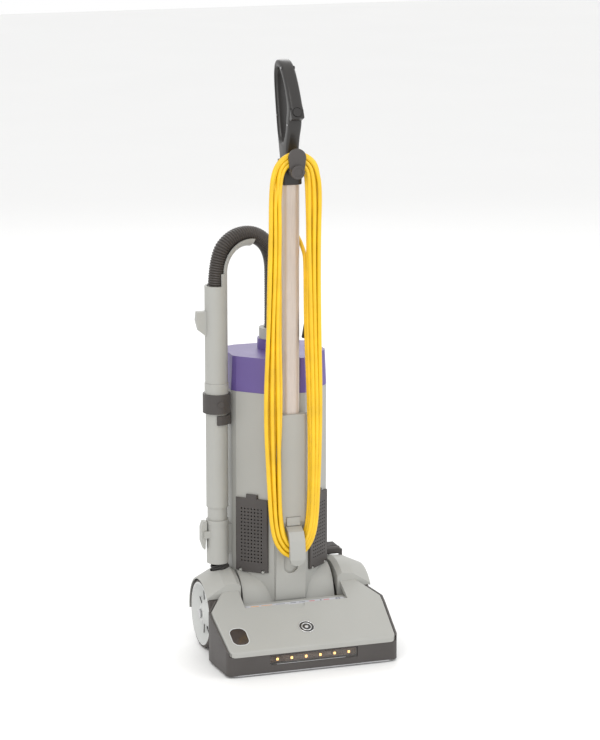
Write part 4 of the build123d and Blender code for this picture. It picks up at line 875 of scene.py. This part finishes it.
def ribbed_tube(name, line, radius, valley, pitch, sides=28):
    """Corrugated tube along a line: one rib is modelled, repeated and bent along it."""
    total = run_length(line_points(line))
    count = int(total / pitch)
    step = total / count
    drop_selection()
    bpy.ops.mesh.primitive_cylinder_add(
        vertices=sides, radius=valley, depth=step, end_fill_type="NOTHING", rotation=(0, math.pi / 2, 0)
    )
    rib = settle(name)
    choose(rib, "EDGE", lambda edge: abs((edge.verts[0].co - edge.verts[1].co).x) > step / 2)
    bpy.ops.mesh.subdivide(number_cuts=3)
    leave_edit()
    for vertex in rib.data.vertices:
        rise = 1 - abs(vertex.co.x) / (step / 2)
        reach = Vector((0, vertex.co.y, vertex.co.z)).normalized()
        reach *= valley + (radius - valley) * min(1.0, 1.5 * rise)
        vertex.co = (vertex.co.x + step / 2, reach.y, reach.z)
    row = rib.modifiers.new("row", "ARRAY")
    row.count = count
    row.use_relative_offset = False
    row.use_constant_offset = True
    row.constant_offset_displace = (step, 0, 0)
    row.use_merge_vertices = True
    row.merge_threshold = 0.00005
    bend = rib.modifiers.new("bend", "CURVE")
    bend.object = line
    bend.deform_axis = "POS_X"
    apply_all(rib)
    choose(rib, "EDGE", lambda edge: edge.is_boundary)
    bpy.ops.mesh.fill()
    leave_edit()
    true_normals(rib)
    return rib


class VACUUM_OT_suction_hose(bpy.types.Operator):
    """Model the ribbed suction hose from the wand's grip over to the lid"""

    bl_idname = "vacuum.suction_hose"
    bl_label = "Suction hose"

    def execute(self, context):
        radius = sizes().hose_diameter / 2
        line = route_curve("hose_line", HOSE_ROUTE, 24)
        path = line_points(line)
        hose = ribbed_tube("suction_hose", line, radius, radius - 0.0019, sizes().hose_rib_pitch)
        bpy.data.objects.remove(line)
        hand_over(hose, None, "hose_black", smooth=25)
        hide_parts("hose")
        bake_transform(hose)
        return {"FINISHED"}


class VACUUM_OT_neck_bellows(bpy.types.Operator):
    """Model the rubber bellows between the floor head's duct and the wand's socket"""

    bl_idname = "vacuum.neck_bellows"
    bl_label = "Neck bellows"

    def execute(self, context):
        low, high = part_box("neck_hose")
        start = Vector((-0.119, 0.057, low.z + 0.0002))
        end = Vector((-0.127, 0.057, high.z - 0.0002))
        line = route_curve("bellows_line", [start, (start + end) / 2 + Vector((0.0004, 0, 0)), end], 12)
        bellows = ribbed_tube("neck_bellows", line, 0.0172, 0.0142, 0.0043, 32)
        bpy.data.objects.remove(line)
        hand_over(bellows, None, "rubber", smooth=35)
        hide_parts("neck_hose")
        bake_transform(bellows)
        return {"FINISHED"}


class VACUUM_OT_handle(bpy.types.Operator):
    """Model the loop handle with its square foot and screw wells"""

    bl_idname = "vacuum.handle"
    bl_label = "Handle"

    def execute(self, context):
        loop = outline_solid("loop_handle", [HANDLE_OUTLINE, HANDLE_OPENING], 0.013, sizes().grip_rounding)
        foot = pad("foot", 0.039, 0.037, 0.006, 0.9152, 0.962)
        turned(foot, (0.0, -0.008, 0.0))
        round_edges(foot, 0.002, 3)
        mast_room = pad("mast_room", 0.0356, 0.0306, 0.0115, 0.90, 0.9325)
        turned(mast_room, (0.0, -0.008, 0.0))
        cut(foot, mast_room)
        room = slab("room", (-0.03, -0.03, 0.90), (0.03, 0.03, 0.935))
        cut(loop, room)
        switch_room = rod("switch_room", (0.0, -0.064, 1.0605), (0.0, -0.0468, 1.0524), 0.0094, None, 40)
        cut(loop, switch_room)
        wells = []
        for y, z in HANDLE_SCREWS:
            for side in (-1, 1):
                wells.append(rod("well", (side * 0.0112, y, z), (side * 0.0134, y, z), 0.0034, 0.0037, 28))
        for well in wells:
            round_edges(well, 0.0004, 2)
        handle = weld("loop_handle", foot, *wells, loop)
        hand_over(handle, "upright", "black_gloss", ["handle_left", "handle_right"], smooth=45)
        heads = []
        for y, z in HANDLE_SCREWS:
            for side in (-1, 1):
                head = rod("head", (side * 0.0128, y, z), (side * 0.0138, y, z), 0.0022, 0.0020, 20)
                low, high = (side * 0.0134, y - 0.0003, z - 0.003), (side * 0.0144, y + 0.0003, z + 0.003)
                slot = slab("slot", low, high)
                cut(head, slot)
                heads.append(head)
        hand_over(weld("handle_screws", *heads), "upright", "steel")
        return {"FINISHED"}


class VACUUM_OT_headlight(bpy.types.Operator):
    """Model the headlight: board, six diodes, clear pane and the bright strip under it"""

    bl_idname = "vacuum.headlight"
    bl_label = "Headlight"

    def execute(self, context):
        board = slab("light_board", (-0.086, -0.1486, LAMP_Z - 0.006), (0.086, -0.1472, LAMP_Z + 0.006))
        tracks = [
            slab("track", (-0.080, -0.1490, LAMP_Z + dz - 0.0004), (0.080, -0.1484, LAMP_Z + dz + 0.0004))
            for dz in (-0.0045, 0.0045)
        ]
        feet = []
        for i in range(LAMP_COUNT):
            x = (i - (LAMP_COUNT - 1) / 2) * LAMP_PITCH
            low, high = (x - 0.0040, -0.1494, LAMP_Z - 0.0030), (x + 0.0040, -0.1484, LAMP_Z + 0.0030)
            feet.append(slab("foot", low, high))
        for piece in (board, *tracks, *feet):
            round_edges(piece, 0.0002, 1)
        hand_over(weld("light_board", *tracks, *feet, board), "head", "board_brown", ["led_strip"])
        diodes = []
        for i in range(LAMP_COUNT):
            x = (i - (LAMP_COUNT - 1) / 2) * LAMP_PITCH
            low, high = (x - 0.0022, -0.1506, LAMP_Z - 0.0022), (x + 0.0022, -0.1492, LAMP_Z + 0.0022)
            diode = slab("diode", low, high)
            round_edges(diode, 0.0006, 3)
            diodes.append(diode)
        hand_over(weld("light_diodes", *diodes), "head", "lamp")
        pane = pad("light_pane", 0.1755, 0.0195, 0.0024, 0.0, 0.0014)
        turned(pane, (0.0, -0.1520, LAMP_Z), math.pi / 2)
        round_edges(pane, 0.0003, 2)
        hand_over(pane, "head", "lens", ["led_lens"])
        sill = slab("light_sill", (-0.074, -0.1546, 0.0192), (0.064, -0.1534, 0.0203))
        round_edges(sill, 0.0003, 2)
        lip = slab("sole_lip", (-0.152, -0.1562, 0.0034), (0.152, -0.1530, 0.0050))
        round_edges(lip, 0.0006, 2)
        hand_over(weld("bright_strips", sill, lip), "head", "steel")
        return {"FINISHED"}


class VACUUM_OT_cover_fittings(bpy.types.Operator):
    """Model the badge, the indicator window with its rim, and the colour strip on the shelf"""

    bl_idname = "vacuum.cover_fittings"
    bl_label = "Cover fittings"

    def execute(self, context):
        disc = rod("badge_disc", (0, 0, -0.0015), (0, 0, 0.0006), 0.0154, None, 56)
        round_edges(disc, 0.0004, 2)
        turned(disc, on_cover(*BADGE_PLACE), COVER_TILT)
        hand_over(disc, "head", "black_gloss", ["badge"])
        rings = [
            ring("badge_ring", radius, thick, on_cover(*BADGE_PLACE, 0.0004), COVER_TILT)
            for radius, thick in ((0.0148, 0.0009), (0.0092, 0.0012))
        ]
        boss = rod("boss", (0, 0, -0.0002), (0, 0, 0.0014), 0.0040, 0.0034, 32)
        round_edges(boss, 0.0005, 2)
        turned(boss, on_cover(*BADGE_PLACE), COVER_TILT)
        hand_over(weld("badge_rings", *rings, boss), "head", "badge_silver")
        rim = pad("window_rim", 0.0352, 0.0482, 0.0146, -0.0010, 0.0009)
        opening = pad("opening", 0.0318, 0.0448, 0.0128, -0.0030, 0.0030)
        cut(rim, opening)
        round_edges(rim, 0.0004, 2)
        turned(rim, on_cover(*WINDOW_PLACE), COVER_TILT)
        hand_over(rim, "head", "wheel_gray")
        glass = pad("window_glass", 0.0318, 0.0448, 0.0126, -0.0028, 0.0002, 10)
        round_edges(glass, 0.0011, 3)
        turned(glass, on_cover(*WINDOW_PLACE), COVER_TILT)
        hand_over(glass, "head", "smoke_window", ["indicator_window"])
        plate = pad("label_plate", 0.200, 0.0135, 0.0015, 0.0, 0.0005)
        turned(plate, (0.0, -0.0405, SHELF_Z - 0.0001))
        hand_over(plate, "head", "label")
        marks = [
            ("label_orange", ((-0.082, 0.017, 0.0032), (-0.058, 0.022, 0.0022))),
            (
                "label_ink",
                ((-0.030, 0.018, 0.0016), (-0.004, 0.012, 0.0026), (0.014, 0.012, 0.0026), (0.052, 0.003, 0.0050)),
            ),
            ("label_red", ((0.034, 0.011, 0.0028), (0.064, 0.012, 0.0028))),
        ]
        for slot, bars in marks:
            made = []
            for x, width, depth in bars:
                made.append(pad("bar", width, depth, min(width, depth) * 0.3, 0.0, 0.0002, 3))
                turned(made[-1], (x, -0.0405, SHELF_Z + 0.0003))
            hand_over(weld(slot + "_marks", *made), "head", slot)
        ink_ring = ring("label_ring", 0.0042, 0.0006, (0.087, -0.0405, SHELF_Z + 0.0004))
        hand_over(ink_ring, "head", "label_ink")
        return {"FINISHED"}


def touch(node, start, direction):
    """Where a ray meets a node of the frame."""
    hit, place, normal, face = NODES[node].ray_cast(Vector(start), Vector(direction))
    return place if hit else None


class VACUUM_OT_wheel_marks(bpy.types.Operator):
    """Model the tyres' tread rims and thin dark rods that paint the shade in the slots between the spokes"""

    bl_idname = "vacuum.wheel_marks"
    bl_label = "Wheel marks"

    def execute(self, context):
        for side, body in ((-1, "left_wheel"), (1, "right_wheel")):
            low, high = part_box(body.replace("wheel", "tyre"))
            outer = low.x if side < 0 else high.x
            spoke_shade_rods = []
            for i in range(8):
                angle = math.pi / 8 + i * math.pi / 4
                way = Vector((0.0, math.cos(angle), math.sin(angle)))
                ends = [
                    touch(body, AXLE + way * r + Vector((side * 0.3, 0, 0)), (-side, 0, 0))
                    for r in (0.026, 0.050)
                ]
                if None in ends or abs(ends[0].x - ends[1].x) > 0.012:
                    continue
                # Painted shade: a thin dark rod laid on the wheel's face where a slot between two spokes falls
                # into shade.
                spoke_shade_rods.append(rod("slot", ends[0], ends[1], 0.0009, None, 10))
            if spoke_shade_rods:
                hand_over(weld(body + "_slots", *spoke_shade_rods), body, "rubber")
            tread = [
                ring("tread", 0.0664, 0.0011, (outer - side * back, AXLE.y, AXLE.z), 0.0, (0.0, math.pi / 2, 0.0))
                for back in (0.003, 0.0125, 0.022)
            ]
            hand_over(weld(body + "_tread", *tread), body, "tyre")
        return {"FINISHED"}


class VACUUM_OT_stage(bpy.types.Operator):
    """Set the pale floor, the soft lights and the camera"""

    bl_idname = "vacuum.stage"
    bl_label = "Stage"

    def execute(self, context):
        scene = context.scene
        drop_selection()
        bpy.ops.mesh.primitive_plane_add(size=24, location=(0, 0, -0.0005))
        floor = settle("studio_floor")
        made = Finish("studio_floor", (0.90, 0.90, 0.895), 0.6)
        grain_node = made.group(moulding_group(), Grain_scale=60.0, Drift_scale=1.5)
        made.layer(made.spread(grain_node.outputs["Tone"], 0.4, 1.0, 0.0, 0.2), (0.84, 0.84, 0.835))
        made.roughness(grain_node.outputs["Tone"], 0.5, 0.7)
        floor.data.materials.append(made.done())
        world = bpy.data.worlds.new("studio")
        scene.world = world
        world.use_nodes = True
        world.node_tree.nodes["Background"].inputs["Color"].default_value = (1.0, 1.0, 1.0, 1.0)
        world.node_tree.nodes["Background"].inputs["Strength"].default_value = 1.0
        lights = [
            ("key_light", (-2.2, -3.0, 3.2), 2.6, 70.0, (1.0, 0.98, 0.95)),
            ("fill_light", (3.0, -2.4, 2.0), 2.4, 38.0, (0.96, 0.98, 1.0)),
            ("rim_light", (0.8, 3.2, 2.8), 2.2, 40.0, (1.0, 1.0, 1.0)),
        ]
        for name, place, size, power, tint in lights:
            lamp_data = bpy.data.lights.new(name, "AREA")
            lamp_data.size = size
            lamp_data.energy = power
            lamp_data.color = tint
            light = bpy.data.objects.new(name, lamp_data)
            light.location = place
            light.rotation_euler = (Vector((0, 0, 0.5)) - Vector(place)).to_track_quat("-Z", "Y").to_euler()
            scene.collection.objects.link(light)
        camera = bpy.data.objects.new("camera", bpy.data.cameras.new("camera"))
        camera.data.lens = 137.4
        camera.data.sensor_width = 36.0
        camera.location = (-1.6352, -5.0058, 1.7711)
        aim = Vector((0.0181, -0.015, 0.5554))
        camera.rotation_euler = (aim - camera.location).to_track_quat("-Z", "Y").to_euler()
        scene.collection.objects.link(camera)
        scene.camera = camera
        scene.view_settings.view_transform = "Standard"
        return {"FINISHED"}


STEPS = [
    VACUUM_OT_stage,
    VACUUM_OT_mains_plug,
    VACUUM_OT_power_cord,
    VACUUM_OT_suction_hose,
    VACUUM_OT_finish_frame,
    VACUUM_OT_strain_relief,
    VACUUM_OT_neck_bellows,
    VACUUM_OT_handle,
    VACUUM_OT_headlight,
    VACUUM_OT_cover_fittings,
    VACUUM_OT_wheel_marks,
]


class VACUUM_PT_panel(bpy.types.Panel):
    """Lists the cleaner's sizes, colours and building steps"""

    bl_label = "Upright vacuum cleaner"
    bl_space_type = "VIEW_3D"
    bl_region_type = "UI"
    bl_category = "Vacuum"

    def draw(self, context):
        for settings in (context.scene.vacuum_sizes, context.scene.vacuum_colours):
            box = self.layout.box()
            for key in settings.__annotations__:
                box.prop(settings, key)
        for step in STEPS:
            self.layout.operator(step.bl_idname)


CLASSES = [VacuumSizes, VacuumColours, *STEPS, VACUUM_PT_panel]


def register():
    for item in CLASSES:
        bpy.utils.register_class(item)
    bpy.types.Scene.vacuum_sizes = PointerProperty(type=VacuumSizes)
    bpy.types.Scene.vacuum_colours = PointerProperty(type=VacuumColours)


def unregister():
    del bpy.types.Scene.vacuum_colours
    del bpy.types.Scene.vacuum_sizes
    for item in reversed(CLASSES):
        bpy.utils.unregister_class(item)


def main():
    register()
    for step in STEPS:
        group, name = step.bl_idname.split(".")
        getattr(getattr(bpy.ops, group), name)()


if __name__ == "__main__":
    main()
